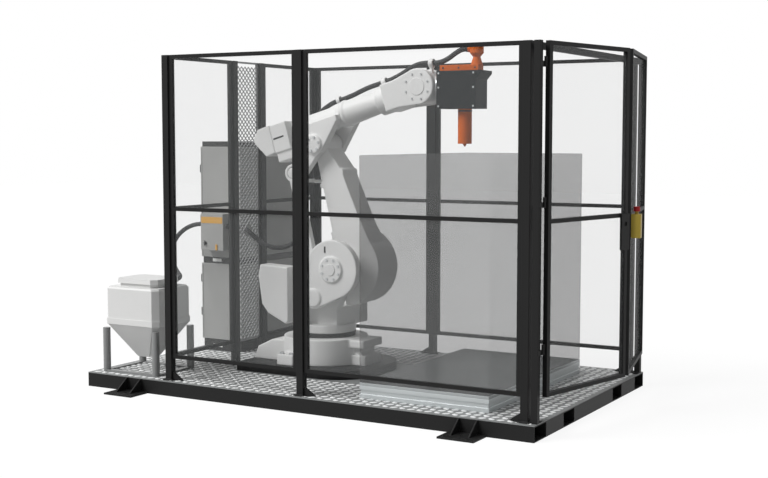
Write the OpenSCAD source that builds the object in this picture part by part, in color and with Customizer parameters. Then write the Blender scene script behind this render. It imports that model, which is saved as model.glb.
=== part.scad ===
// Robotic printing cell: a six-axis robot with a parallel rod carries a pellet extruder over a
// heated bed, inside a glazed safety fence with a double door, all on one steel skid.
// Millimetres, +Z up. The origin is on the floor at the centre of the four anchor bolts, +X points
// to the double door, and the robot's arm lies in the plane y = 0.

/* [Skid] */
// Length of the skid along X
skid_length = 3400; // [3200:10:3800]
// Width of the skid along Y
skid_width = 1950; // [1900:10:2200]
// Width of a longitudinal tube
tube_width = 185; // [140:5:200]
// Height of a longitudinal tube
tube_height = 95; // [80:5:140]
// Wall of the tubes
tube_wall = 6; // [4:1:10]
// Distance of the two fork pocket tubes from the middle
pocket_offset = 435; // [380:5:500]
// Thickness of the tread plate
deck_thickness = 5; // [4:1:10]
// Width of a cross member
cross_width = 80; // [50:5:120]
// Number of rows of cross members
cross_rows = 5; // [3:1:7]

/* [Anchor brackets] */
// Distance between the brackets along X
anchor_spacing = 2560; // [2200:10:2900]
// How far a floor plate stands out from the skid
anchor_reach = 175; // [140:5:220]
// Width of a floor plate
anchor_width = 240; // [180:5:300]
// Thickness of a floor plate
anchor_plate = 12; // [8:1:20]
// Diameter of an anchor bolt hole
anchor_hole_d = 22; // [14:1:32]
// Thickness of the upright gussets
gusset = 10; // [6:1:16]

/* [Fence] */
// Size of the square posts
post_size = 50; // [40:1:60]
// Height of the fence above the deck
fence_height = 2200; // [2000:10:2400]
// Distance of the long walls' posts from the skid's side, to the post's middle
wall_setback = 66; // [60:1:90]
// Distance of the left wall's posts from the door end of the skid
left_inset = 2711; // [2650:1:2750]
// Distance of the middle posts from the door end of the skid
middle_inset = 1640; // [1500:1:1800]
// Distance of the door end's posts from the door end of the skid
right_inset = 83; // [80:1:100]
// Half distance between the posts of the mesh bay
mesh_bay_half = 166; // [140:1:220]
// Width of a panel's upright bars
stile = 30; // [20:1:40]
// Height of a panel's level bars
rail = 25; // [15:1:35]
// Depth of a panel's bars
frame_depth = 25; // [16:1:40]
// Gap under the panels
bottom_gap = 150; // [100:5:200]
// Height of the middle rail above the deck
mid_rail_height = 1157; // [900:1:1300]
// Thickness of the panes
glass_thickness = 5; // [4:1:10]
// Side of a post's foot plate
foot_size = 80; // [60:1:84]
// Thickness of a post's foot plate
foot_thickness = 8; // [5:1:12]

/* [Mesh panel] */
// Number of diamonds across the mesh panel
mesh_columns = 5; // [3:1:7]
// Number of diamonds up the mesh panel
mesh_rows = 20; // [10:1:26]
// Width of a strand of the mesh
mesh_strand = 9; // [6:1:14]
// Thickness of the mesh
mesh_thickness = 4; // [2:1:8]

/* [Double door] */
// Size of the square door posts
door_post = 40; // [30:1:40]
// Gap between a fence post and its door post
door_post_gap = 18; // [15:1:25]
// Depth of a leaf's bars
leaf_depth = 30; // [20:1:40]
// Angle at which both leaves stand ajar
ajar = 12.5; // [0:0.5:20]
// Gap between the closed leaves
leaf_gap = 10; // [10:1:20]
// Height of the header beam
header_height = 40; // [30:1:60]
// Width of the lock plate
lock_width = 90; // [60:1:120]
// Height of the lock plate
lock_height = 225; // [160:1:260]

/* [Cabinets] */
// Width of the cabinets along X
cabinet_width = 377; // [330:1:400]
// Depth of the cabinets along Y
cabinet_depth = 740; // [600:5:780]
// Height of the lower cabinet
lower_cabinet_height = 590; // [500:5:700]
// Height of the upper cabinet
upper_cabinet_height = 850; // [700:5:950]
// Height of the plinth
plinth_height = 90; // [60:5:120]
// Height of the strip between the cabinets
strip_height = 50; // [30:5:70]
// Distance of the cabinets from the skid's end
cabinet_inset = 103; // [90:1:130]
// Depth of the control box on the front
control_box_depth = 100; // [60:5:120]

/* [Hopper] */
// Width of the bin along X
bin_width = 470; // [400:5:500]
// Depth of the bin along Y
bin_depth = 400; // [320:5:460]
// Height of the bin's upright sides
bin_side = 250; // [200:5:300]
// Height of the bin's sloping bottom
bin_slope = 240; // [200:5:260]
// Height of the bin's rim above the deck
bin_rim = 590; // [560:5:640]
// Wall of the bin
bin_wall = 6; // [4:1:10]
// Side of the outlet
bin_outlet = 120; // [100:5:160]
// Height of the lid
lid_height = 70; // [40:5:90]
// Size of the stand's square tubes
stand_bar = 40; // [30:1:50]

/* [Print bed] */
// Length of the bed along X
bed_length = 905; // [700:5:1000]
// Width of the bed along Y
bed_width = 1500; // [1200:10:1600]
// Distance of the bed from the door end of the skid
bed_inset = 370; // [300:5:420]
// Sideways shift of the bed from the arm plane
bed_shift = -46; // [-60:1:60]
// Height of the bed's frame
bed_frame_height = 82; // [60:1:110]
// Thickness of the bed's plate
bed_plate_thickness = 18; // [10:1:25]

/* [Robot base] */
// Position of axis 1 along X
axis_1_x = -330; // [-380:5:-280]
// Thickness of the mounting plate under the robot
mount_plate = 60; // [40:5:80]
// Half width of the mounting plate
mount_plate_half = 400; // [360:5:450]
// Radius of the mounting plate's front corners
mount_plate_corner = 300; // [200:5:350]
// Height of the base casting
base_height = 185; // [160:5:220]
// Radius of the base drum
base_radius = 295; // [260:5:310]
// Radius of the slewing ring
ring_radius = 215; // [180:5:230]
// Height of the slewing ring
ring_height = 30; // [20:1:50]

/* [Robot arms] */
// Distance from axis 1 to axis 2 along X
shoulder_offset = 200; // [180:5:220]
// Height of axis 2 above the mounting plate
shoulder_height = 680; // [660:5:720]
// Length of the lower arm from axis 2 to axis 3
lower_arm_length = 890; // [850:5:930]
// Backward lean of the lower arm
lower_arm_lean = 14; // [10:1:18]
// Distance of the forearm's line above axis 3
elbow_rise = 150; // [140:1:170]
// Length of the forearm to axis 5
forearm_length = 880; // [850:5:930]
// Elevation of the forearm
forearm_elevation = 16; // [12:1:20]
// Distance from axis 5 to the tool flange
wrist_length = 140; // [138:1:150]
// Backward distance of the crank pin from axis 2
crank_back = 146; // [130:1:160]
// Downward distance of the crank pin from axis 2
crank_down = 204; // [190:1:220]

/* [Extruder] */
// Length of the housing along X
housing_length = 290; // [260:5:320]
// Width of the housing along Y
housing_width = 180; // [140:5:200]
// Depth of the housing below axis 5
housing_drop = 150; // [130:5:170]
// Height of the housing above axis 5
housing_rise = 100; // [90:5:130]
// Diameter of the barrel
barrel_d = 93; // [80:1:110]
// Length of the barrel below the housing
barrel_length = 232; // [180:1:260]
// Height of the gearbox bar
gearbox_height = 40; // [30:1:60]
// Height of the funnel
funnel_height = 130; // [110:1:150]

/* [Hoses] */
// Outer diameter of the hoses
hose_d = 34; // [28:1:40]

/* [Hidden] */
$fn = 48;

// Clearances
seat = 0.3;
running = 0.05;
eps = 1;

// Colours
black_paint = "#262626";
dark_grey = "#454545";
cabinet_grey = "#9C9C9A";
robot_grey = "#D6D6D4";
orange = "#C8683A";
housing_grey = "#33383B";
hose_black = "#3C3C3C";

// Levels
deck_z = tube_height + deck_thickness;
fence_z = deck_z + fence_height;
panel_z = deck_z + bottom_gap;
panel_height = fence_height - bottom_gap;
plate_z = deck_z + mount_plate;
base_z = plate_z + base_height;

// Fence lines
end_x = skid_length / 2;
wall_y = skid_width / 2 - wall_setback;
left_x = end_x - left_inset;
middle_x = end_x - middle_inset;
right_x = end_x - right_inset;
half_post = post_size / 2;

// Double door
door_post_x = right_x + half_post + door_post_gap;
door_post_y = wall_y + half_post - door_post;
hinge_x = door_post_x + door_post + 10;
hinge_y = door_post_y - 13;
leaf_start = 20;
leaf_end = hinge_y - leaf_gap / 2;
leaf_width = leaf_end - leaf_start;
hinge_heights = [400, 1250, 2050];
pin_r = 5;
knuckle_r = 9;
knuckle_h = 30;

// Robot axes at rest
axis_2 = [axis_1_x + shoulder_offset, 0, plate_z + shoulder_height];
axis_3 = axis_2 + lower_arm_length * [-sin(lower_arm_lean), 0, cos(lower_arm_lean)];
forearm_start = axis_3 + elbow_rise * [-sin(forearm_elevation), 0, cos(forearm_elevation)];
axis_5 = forearm_start + forearm_length * [cos(forearm_elevation), 0, sin(forearm_elevation)];
crank_pin = [-crank_back, 0, -crank_down];
flange_x = axis_5[0] + wrist_length;

// Layers of the robot across Y, from the near side to the far side
crank_near = -250;
crank_far = -190;
rod_near = -184;
rod_far = -138;
cheek_near = -132;
cheek_far = -64;
arm_near = -60;
arm_far = 140;
hub_far = 215;
far_cheek_near = 219;
far_cheek_far = 290;
elbow_far_near = 144;
elbow_far_far = 205;
shaft_r = 80;
crank_shaft_r = 60;
crank_cap = 15;
rod_pin_r = 40;
elbow_pin_r = 50;

// Hose routes, from one clamp to the next
hopper_hose_route = [
    [-1525, 144, 1085], [-1552, 144, 1085], [-1579, 142, 1084], [-1621, 130, 1076], [-1656, 102, 1058],
    [-1676, 62, 1032], [-1681, 14, 1000], [-1671, -40, 962], [-1646, -96, 922], [-1606, -154, 880],
    [-1556, -208, 840],
    [-1504, -256, 805], [-1450, -300, 778],
    [-1400, -338, 759], [-1354, -376, 747], [-1318, -424, 738], [-1302, -466, 735],
    [-1300, -493, 735], [-1300, -520, 735]
];
wall_hose_route = [
    [-1313, 144, 1075], [-1283, 144, 1075], [-1253, 143, 1075], [-1200, 132, 1077], [-1148, 104, 1079],
    [-1098, 66, 1078], [-1052, 28, 1072], [-1011, 0, 1062], [-962, -26, 1042], [-905, -44, 1014],
    [-845, -50, 982], [-785, -42, 958], [-725, -20, 950], [-670, 8, 960], [-624, 34, 990],
    [-595, 52, 1034], [-582, 59, 1080], [-580, 60, 1115], [-580, 60, 1150]
];
riser_hose_route = [
    [-580, 60, 1150], [-580, 60, 1185], [-578, 61, 1220], [-568, 64, 1265], [-550, 69, 1310],
    [-528, 75, 1350], [-511, 79, 1385], [-505, 80, 1414], [-505, 80, 1440]
];
elbow_hose_route = [
    [-505, 80, 1440], [-505, 80, 1475], [-506, 82, 1510], [-513, 92, 1555], [-528, 114, 1602],
    [-549, 146, 1649], [-571, 184, 1698], [-586, 220, 1752], [-588, 246, 1810], [-574, 254, 1866],
    [-540, 245, 1914], [-492, 222, 1948], [-440, 188, 1968], [-390, 150, 1982], [-346, 122, 1994],
    [-308, 110, 2005], [-280, 110, 2013]
];
forearm_hose_route = [
    [-280, 110, 2013], [-252, 110, 2021], [-224, 110, 2029], [-150, 100, 2052], [-80, 82, 2076],
    [-10, 66, 2098], [64, 60, 2118], [92, 60, 2126], [120, 60, 2134]
];
wrist_hose_route = [
    [120, 60, 2134], [148, 60, 2142], [176, 60, 2150], [240, 50, 2174], [310, 32, 2204],
    [370, 14, 2230], [430, 3, 2246], [480, 0, 2250], [500, 0, 2250], [520, 0, 2250]
];
tool_hose_route = [
    [520, 0, 2250], [545, 0, 2250], [570, 0, 2251], [612, 0, 2261], [655, 0, 2282],
    [698, 0, 2309], [736, 0, 2328], [768, 0, 2334], [795, 0, 2334]
];

// A point on a smooth curve through the points p, at the share t of the stretch after point i
function curve_at(p, i, t) =
    let (
        a = p[max(i - 1, 0)], b = p[i], c = p[i + 1], d = p[min(i + 2, len(p) - 1)]
    )
    0.5 * (2 * b + (c - a) * t + (2 * a - 5 * b + 4 * c - d) * t * t
        + (3 * b - a - 3 * c + d) * t * t * t);

function unit(v) = v / norm(v);

// The plane of a ring follows the hose: side and up are square to its direction
function side_of(d) = abs(d[2]) > 0.95 ? unit(cross([0, 1, 0], d)) : unit(cross([0, 0, 1], d));

// Direction of the hose at point i of its path, along the route's own first and last steps at the ends
function heading(path, i, route) =
    let (last = len(path) - 1, end = len(route) - 1)
    i == 0 ? unit(route[1] - route[0])
        : i == last ? unit(route[end] - route[end - 1])
        : unit(path[i + 1] - path[i - 1]);

module frame_bars(width, height, mid, bar, depth) {
    // Upright panel in the XZ plane, centred on y = 0, with its middle rail at mid
    translate([0, depth / 2, 0]) rotate([90, 0, 0]) linear_extrude(depth)
        difference() {
            square([width, height]);
            translate([bar, rail]) square([width - 2 * bar, mid - rail]);
            translate([bar, mid + rail]) square([width - 2 * bar, height - mid - 2 * rail]);
        }
}

// The two panes of a panel, inside its bars
module panes(width, height, mid, bar) {
    inner = width - 2 * bar - 2 * seat;
    for (span = [[rail, mid], [mid + rail, height - rail]])
        translate([bar + seat, -glass_thickness / 2, span[0] + seat])
            cube([inner, glass_thickness, span[1] - span[0] - 2 * seat]);
}

// Middle rail of a panel, measured from the panel's own bottom
panel_mid = mid_rail_height - bottom_gap;

// A slab across Y from y0 to y1 with its outline in the XZ plane
module slab_y(y0, y1) {
    translate([0, y1, 0]) rotate([90, 0, 0]) linear_extrude(y1 - y0) children();
}

// A round drum across Y from y0 to y1
module drum_y(r, y0, y1) {
    translate([0, y1, 0]) rotate([90, 0, 0]) cylinder(r = r, h = y1 - y0);
}

// A round drum along X from x0 to x1
module drum_x(r, x0, x1) {
    translate([x0, 0, 0]) rotate([0, 90, 0]) cylinder(r = r, h = x1 - x0);
}

// Outline of a link from an end of radius r1 at the origin to an end of radius r2 at the point p.
// Its straight flanks run a little inside the tangent lines, so they cut the round ends cleanly
flank_inset = 1;
module link_outline(r1, r2, p) {
    d = norm(p);
    lean = asin((r1 - r2) / d);
    a = r1 - flank_inset;
    b = r2 - flank_inset;
    rotate(atan2(p[1], p[0]) - 90) {
        circle(r1);
        translate([0, d]) circle(r2);
        polygon([
            [-a * cos(lean), a * sin(lean)], [a * cos(lean), a * sin(lean)],
            [b * cos(lean), d + b * sin(lean)], [-b * cos(lean), d + b * sin(lean)]
        ]);
    }
}

// A flat block with four rounded upright edges, centred in X and Y
module rounded_block(size, r) {
    linear_extrude(size[2]) rounded_outline(size[0], size[1], r);
}

module rounded_outline(w, d, r) {
    square([w - 2 * r, d], center = true);
    square([w, d - 2 * r], center = true);
    for (sx = [-1, 1], sy = [-1, 1])
        translate([sx * (w / 2 - r), sy * (d / 2 - r)]) circle(r);
}

// Frames of the robot's links at rest
module at_lower_arm() { translate(axis_2) rotate([0, -lower_arm_lean, 0]) children(); }
module at_forearm() { translate(forearm_start) rotate([0, -forearm_elevation, 0]) children(); }

// A hose swept along its route
module hose(route) {
    sides = 10;
    steps = 2;
    stretches = len(route) - 1;
    path = concat(
        [for (i = [0 : stretches - 1], s = [0 : steps - 1]) curve_at(route, i, s / steps)],
        [route[stretches]]
    );
    rings = len(path);
    points = [
        for (i = [0 : rings - 1])
            let (d = heading(path, i, route), u = side_of(d), v = cross(d, u))
            for (k = [0 : sides - 1])
                path[i] + hose_d / 2 * (cos(360 * k / sides) * u + sin(360 * k / sides) * v)
    ];
    walls = [
        for (i = [0 : rings - 2], k = [0 : sides - 1])
            let (n = (k + 1) % sides)
            [i * sides + k, (i + 1) * sides + k, (i + 1) * sides + n, i * sides + n]
    ];
    first = [[for (k = [0 : sides - 1]) k]];
    last = [[for (k = [sides - 1 : -1 : 0]) (rings - 1) * sides + k]];
    color(hose_black) polyhedron(points, concat(first, walls, last));
}

// A guide eye for a hose, with room for the hose to slide
guide_gap = 3;
eye_r = hose_d / 2 + guide_gap;
clamp_r = eye_r + 10;
clamp_h = 40;

module hose_bore(length) {
    translate([0, 0, -length / 2]) cylinder(r = eye_r, h = length);
}

// A guide eye along X at the point p, on an arm that stands on a round casting along X
arm_width = 24;
module standing_clamp(p, root_r) {
    reach = norm([p[1], p[2]]);
    difference() {
        union() {
            translate(p) rotate([0, 90, 0]) translate([0, 0, -clamp_h / 2]) cylinder(r = clamp_r, h = clamp_h);
            translate([p[0], 0, 0]) rotate([atan2(p[2], p[1]), 0, 0])
                translate([-arm_width / 2, root_r, -arm_width / 2]) cube([arm_width, reach - root_r, arm_width]);
        }
        translate(p) rotate([0, 90, 0]) hose_bore(clamp_h + 2 * eps);
    }
}

// A point of the cell in the forearm's own frame
function in_forearm(p) =
    let (d = p - forearm_start, c = cos(forearm_elevation), s = sin(forearm_elevation))
    [d[0] * c + d[2] * s, d[1], d[2] * c - d[0] * s];

// Skid

tube_ys = [-(skid_width - tube_width) / 2, -pocket_offset, pocket_offset, (skid_width - tube_width) / 2];

module skid_long_tubes() {
    color(black_paint)
        for (y = tube_ys)
            translate([-end_x, y - tube_width / 2, 0]) difference() {
                cube([skid_length, tube_width, tube_height]);
                translate([-eps, tube_wall, tube_wall])
                    cube([skid_length + 2 * eps, tube_width - 2 * tube_wall, tube_height - 2 * tube_wall]);
            }
}

module skid_cross_members() {
    pitch = (skid_length - cross_width) / (cross_rows - 1);
    color(dark_grey)
        for (i = [0 : cross_rows - 1], k = [0 : len(tube_ys) - 2]) {
            y0 = tube_ys[k] + tube_width / 2;
            y1 = tube_ys[k + 1] - tube_width / 2;
            translate([-end_x + i * pitch, y0, 0]) cube([cross_width, y1 - y0, tube_height]);
        }
}

anchor_y = (skid_width + anchor_reach) / 2;

module anchor_bracket() {
    difference() {
        translate([-anchor_width / 2, 0, 0]) cube([anchor_width, anchor_reach, anchor_plate]);
        translate([0, anchor_reach / 2, -eps]) cylinder(d = anchor_hole_d, h = anchor_plate + 2 * eps);
    }
    for (s = [-1, 1])
        translate([s * anchor_width / 4 - gusset / 2, 0, 0]) rotate([90, 0, 90]) linear_extrude(gusset)
            polygon([
                [0, anchor_plate], [anchor_reach * 0.7, anchor_plate], [gusset, tube_height], [0, tube_height]
            ]);
}

module anchor_brackets() {
    color(black_paint)
        for (sx = [-1, 1], sy = [0, 180])
            rotate([0, 0, sy]) translate([sx * anchor_spacing / 2, skid_width / 2, 0]) anchor_bracket();
}

module deck_plate() {
    color("silver")
        translate([-end_x, -skid_width / 2, tube_height]) cube([skid_length, skid_width, deck_thickness]);
}

// Fence

wall_posts = [
    for (x = [left_x, middle_x, right_x], s = [-1, 1]) [x, s * wall_y],
    for (s = [-1, 1]) [left_x, s * mesh_bay_half]
];

module fence_posts() {
    color(black_paint)
        for (p = wall_posts)
            translate([p[0], p[1], deck_z]) {
                translate([-half_post, -half_post, 0]) cube([post_size, post_size, fence_height]);
                translate([-foot_size / 2, -foot_size / 2, 0]) cube([foot_size, foot_size, foot_thickness]);
            }
}

// Bays of the long walls, as start and width along X
long_bays = [
    [left_x + half_post + seat, middle_x - left_x - post_size - 2 * seat],
    [middle_x + half_post + seat, right_x - middle_x - post_size - 2 * seat]
];

// Bays of the left wall, as start and width along Y
left_bay_width = wall_y - mesh_bay_half - post_size - 2 * seat;
left_bays = [
    [-wall_y + half_post + seat, left_bay_width],
    [mesh_bay_half + half_post + seat, left_bay_width]
];

module long_wall_frames(y) {
    color(black_paint)
        for (bay = long_bays)
            translate([bay[0], y, panel_z]) frame_bars(bay[1], panel_height, panel_mid, stile, frame_depth);
}

module long_wall_glass(y) {
    color("#DDE3E4", 0.2)
        for (bay = long_bays)
            translate([bay[0], y, panel_z]) panes(bay[1], panel_height, panel_mid, stile);
}

module front_wall_frames() { long_wall_frames(-wall_y); }
module back_wall_frames() { long_wall_frames(wall_y); }
module front_wall_glass() { long_wall_glass(-wall_y); }
module back_wall_glass() { long_wall_glass(wall_y); }

module left_wall_frames() {
    color(black_paint)
        for (bay = left_bays)
            translate([left_x, bay[0], panel_z]) rotate([0, 0, 90])
                frame_bars(bay[1], panel_height, panel_mid, stile, frame_depth);
}

module left_wall_glass() {
    color("#DDE3E4", 0.2)
        for (bay = left_bays)
            translate([left_x, bay[0], panel_z]) rotate([0, 0, 90])
                panes(bay[1], panel_height, panel_mid, stile);
}

// Expanded metal in a frame of flat bars, with a round port for the feed hose
mesh_border = 14;
mesh_port = wall_hose_route[7];
port_r = 32;
module mesh_panel() {
    width = 2 * mesh_bay_half - post_size - 2 * seat;
    step_x = (width - 2 * mesh_border) / mesh_columns;
    step_z = (panel_height - 2 * mesh_border) / mesh_rows;
    port_z = mesh_port[2] - panel_z;
    color(dark_grey)
        translate([left_x - mesh_thickness / 2, -width / 2, panel_z]) rotate([90, 0, 90])
            linear_extrude(mesh_thickness) difference() {
                square([width, panel_height]);
                intersection() {
                    translate([mesh_border, mesh_border])
                        square([width - 2 * mesh_border, panel_height - 2 * mesh_border]);
                    for (i = [0 : mesh_columns], k = [0 : mesh_rows], h = [0, 0.5])
                        translate([mesh_border + (i + h) * step_x, mesh_border + (k + h) * step_z])
                            polygon([
                                [-step_x / 2 + mesh_strand / 2, 0], [0, -step_z / 2 + mesh_strand],
                                [step_x / 2 - mesh_strand / 2, 0], [0, step_z / 2 - mesh_strand]
                            ]);
                }
                translate([width / 2 + mesh_port[1], port_z]) circle(port_r);
            }
}

// Double door

module both_sides() {
    children();
    mirror([0, 1, 0]) children();
}

module door_posts() {
    color(black_paint) both_sides() {
        translate([door_post_x, -door_post_y - door_post, deck_z]) cube([door_post, door_post, fence_height]);
        translate([door_post_x, -door_post_y - door_post, deck_z])
            cube([door_post, door_post + foot_size / 2, foot_thickness]);
    }
}

module door_header() {
    header_depth = 29;
    color(dark_grey)
        translate([door_post_x, -door_post_y + seat, fence_z - header_height - 10])
            cube([header_depth, 2 * (door_post_y - seat), header_height]);
}

// Fixed half of each hinge: a strap on the door post, a knuckle and the pin
module door_hinges() {
    post_face = door_post_x + door_post;
    color(black_paint) both_sides() for (z = hinge_heights) translate([0, 0, deck_z + z]) {
        translate([hinge_x, -hinge_y, 0]) {
            cylinder(r = knuckle_r, h = knuckle_h);
            cylinder(r = pin_r, h = 2 * knuckle_h);
        }
        translate([post_face, -door_post_y - door_post, 0])
            cube([hinge_x - post_face - 4, door_post + 13 - 4, knuckle_h]);
    }
}

// A leaf in its closed place, hinge axis at the origin, free end towards +Y
module leaf_frame() {
    color(black_paint) {
        translate([0, leaf_start, panel_z]) rotate([0, 0, 90])
            frame_bars(leaf_width, panel_height, panel_mid, stile, leaf_depth);
        for (z = hinge_heights) translate([0, 0, deck_z + z + knuckle_h + seat]) difference() {
            union() {
                cylinder(r = knuckle_r, h = knuckle_h);
                translate([-4, 0, 0]) cube([8, leaf_start, knuckle_h]);
            }
            translate([0, 0, -eps]) cylinder(r = pin_r + running, h = knuckle_h + 2 * eps);
        }
    }
}

module leaf_glass() {
    color("#DDE3E4", 0.2)
        translate([0, leaf_start, panel_z]) rotate([0, 0, 90]) panes(leaf_width, panel_height, panel_mid, stile);
}

module near_leaf() { translate([hinge_x, -hinge_y, 0]) rotate([0, 0, -ajar]) children(); }
module far_leaf() { mirror([0, 1, 0]) near_leaf() children(); }

module near_leaf_frame() { near_leaf() leaf_frame(); }
module near_leaf_glass() { near_leaf() leaf_glass(); }
module far_leaf_frame() { far_leaf() leaf_frame(); }
module far_leaf_glass() { far_leaf() leaf_glass(); }

lock_z = deck_z + 955;
lock_thickness = 14;

// Plain plate with a keyhole on the outer face of the near leaf
module near_leaf_lock() {
    color("#1E1E1E") near_leaf()
        translate([leaf_depth / 2, leaf_end - lock_width, lock_z]) difference() {
            cube([lock_thickness, lock_width, lock_height]);
            translate([lock_thickness / 2, lock_width / 2, lock_height * 0.72]) rotate([0, 90, 0])
                cylinder(r = 14, h = lock_thickness);
        }
}

// Box with a removable key on the outer face of the far leaf
module interlock_switch() {
    box_depth = 60;
    box_width = 70;
    box_height = 150;
    box_z = lock_z + 65;
    color("#B59A32") far_leaf() translate([leaf_depth / 2, leaf_end - box_width - 20, box_z]) {
        cube([box_depth, box_width, box_height]);
        translate([box_depth / 2, box_width / 2, box_height]) cylinder(r = 12, h = 20);
        translate([box_depth / 2 - 5, box_width / 2 - 20, box_height + 20]) cube([10, 40, 25]);
    }
}

// Cabinets

cabinet_x = -end_x + cabinet_inset;
cabinet_y = skid_width / 2 - 41 - cabinet_depth;
lower_z = deck_z + plinth_height;
strip_z = lower_z + lower_cabinet_height;
upper_z = strip_z + strip_height;
cap_z = upper_z + upper_cabinet_height;
cap_height = 40;
trim_inset = 10;

module lower_cabinet() {
    color(cabinet_grey) translate([cabinet_x, cabinet_y, lower_z])
        cube([cabinet_width, cabinet_depth, lower_cabinet_height]);
}

module upper_cabinet() {
    color(cabinet_grey) translate([cabinet_x, cabinet_y, upper_z])
        cube([cabinet_width, cabinet_depth, upper_cabinet_height]);
}

module cabinet_trim() {
    color(black_paint)
        for (level = [[deck_z, plinth_height], [strip_z, strip_height], [cap_z, cap_height]])
            translate([cabinet_x + trim_inset, cabinet_y + trim_inset, level[0]])
                cube([cabinet_width - 2 * trim_inset, cabinet_depth - 2 * trim_inset, level[1]]);
}

module cabinet_hinges() {
    hinge_h = 60;
    color("#222222")
        for (z = [lower_z + 180, lower_z + 440, upper_z + 260, upper_z + 650])
            translate([cabinet_x - 14, cabinet_y + 8, z]) cube([14, 26, hinge_h]);
}

module cable_hoods() {
    hood_depth = 55;
    color("#CFCBC0")
        for (z = [lower_z + 20, upper_z + 40])
            translate([cabinet_x, cabinet_y + 300, z]) rotate([90, 0, 0]) linear_extrude(220)
                polygon([[0, 0], [-hood_depth, 0], [-hood_depth, 110], [0, 160]]);
}

control_box_x = cabinet_x + 72;
control_box_w = 212;
control_box_z = upper_z + 60;
control_box_h = 280;

module control_box() {
    color("#A3A3A0") translate([control_box_x, cabinet_y - control_box_depth, control_box_z])
        cube([control_box_w, control_box_depth, control_box_h]);
}

// Hopper

bin_x = -1395;
bin_y = -680;
bin_rim_z = deck_z + bin_rim;
bin_bend_z = bin_rim_z - bin_side;
bin_foot_z = bin_bend_z - bin_slope;

// Upright sides over a sloping bottom, shrunk by a wall on every side
module bin_form(shrink, lift) {
    w = bin_width - 2 * shrink;
    d = bin_depth - 2 * shrink;
    o = bin_outlet - 2 * shrink;
    translate([bin_x, bin_y, 0]) {
        translate([-w / 2, -d / 2, bin_bend_z]) cube([w, d, bin_side + lift]);
        hull() {
            translate([-w / 2, -d / 2, bin_bend_z - 0.01]) cube([w, d, 0.02]);
            translate([-o / 2, -o / 2, bin_foot_z - lift]) cube([o, o, 0.02]);
        }
    }
}

module hopper_bin() {
    color("#E9E9E7") difference() {
        bin_form(0, 0);
        bin_form(bin_wall, eps);
    }
}

module hopper_lid() {
    color("#EDEDEB") translate([bin_x, bin_y, bin_rim_z]) {
        translate([-bin_width / 2, -bin_depth / 2, 0]) cube([bin_width, bin_depth, 12]);
        translate([-bin_width / 2 + 40, -bin_depth / 2 + 40, 12])
            cube([bin_width - 80, bin_depth - 80, lid_height - 12]);
    }
}

module hopper_stand() {
    w = bin_width + 2 * seat;
    d = bin_depth + 2 * seat;
    leg_h = bin_bend_z - deck_z + 60;
    color("#707070") translate([bin_x, bin_y, deck_z]) {
        for (sx = [-1, 1], sy = [-1, 1])
            translate([sx * (w / 2 + stand_bar / 2) - stand_bar / 2, sy * (d / 2 - stand_bar) - stand_bar / 2, 0])
                cube([stand_bar, stand_bar, leg_h]);
        for (sx = [-1, 1])
            translate([sx * (w / 2 + stand_bar / 2) - stand_bar / 2, -d / 2 + stand_bar, 0])
                cube([stand_bar, d - 2 * stand_bar, stand_bar]);
        for (sy = [-1, 1])
            translate([-w / 2, sy * (d / 2 - stand_bar) - stand_bar / 2, 0]) cube([w, stand_bar, stand_bar]);
    }
}

// Print bed

bed_x = end_x - bed_inset - bed_length;
bed_y = bed_shift - bed_width / 2;
bed_layers = 3;

module bed_frame() {
    layer = bed_frame_height / bed_layers;
    groove = 6;
    color("#C8CDCE") translate([bed_x, bed_y, deck_z])
        for (i = [0 : bed_layers - 1]) {
            inset = i % 2 == 1 ? groove : 0;
            translate([inset, inset, i * layer]) cube([bed_length - 2 * inset, bed_width - 2 * inset, layer]);
        }
}

module bed_plate() {
    color("#7F8485") translate([bed_x, bed_y, deck_z + bed_frame_height])
        cube([bed_length, bed_width, bed_plate_thickness]);
}

// Robot

plate_rear = 500;
plate_front = 480;

module robot_plate() {
    w = plate_rear + plate_front;
    color(black_paint) translate([axis_1_x, 0, deck_z]) linear_extrude(mount_plate) {
        translate([-plate_rear, -mount_plate_half]) square([w - mount_plate_corner, 2 * mount_plate_half]);
        translate([plate_front - mount_plate_corner, -mount_plate_half + mount_plate_corner])
            square([mount_plate_corner, 2 * (mount_plate_half - mount_plate_corner)]);
        for (s = [-1, 1])
            translate([plate_front - mount_plate_corner, s * (mount_plate_half - mount_plate_corner)])
                circle(mount_plate_corner);
    }
}

module robot_base() {
    flange_h = 50;
    color(robot_grey) translate([axis_1_x, 0, plate_z]) {
        cylinder(r = base_radius, h = base_height);
        translate([-30, 0, 0]) rounded_block([800, 640, flange_h], 40);
        // Sloping connector housing at the back
        slab_y(-200, 200) polygon([[-200, 0], [-470, 0], [-440, 90], [-330, 150], [-200, 150]]);
        // Fork lugs on both sides and at the front
        for (s = [-1, 1]) translate([-100, s * 325 - 25, 0]) cube([110, 50, 75]);
        translate([270, -110, 0]) cube([120, 220, 110]);
        translate([250, -130, 110]) cube([140, 260, 30]);
    }
}

module swivel_ring() {
    color("#3A3A3A") translate([axis_1_x, 0, base_z + seat]) cylinder(r = ring_radius, h = ring_height);
}

turret_z = base_z + seat + ring_height;
table_top = axis_2[2] - 284;
cheek_r = 125;

// Outline of a turret cheek around axis 2, down to the table
module cheek_outline() {
    circle(cheek_r);
    polygon([
        [-cheek_r, 0], [cheek_r, 0], [cheek_r + 30, table_top - axis_2[2] - eps],
        [-cheek_r - 160, table_top - axis_2[2] - eps]
    ]);
}

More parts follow.
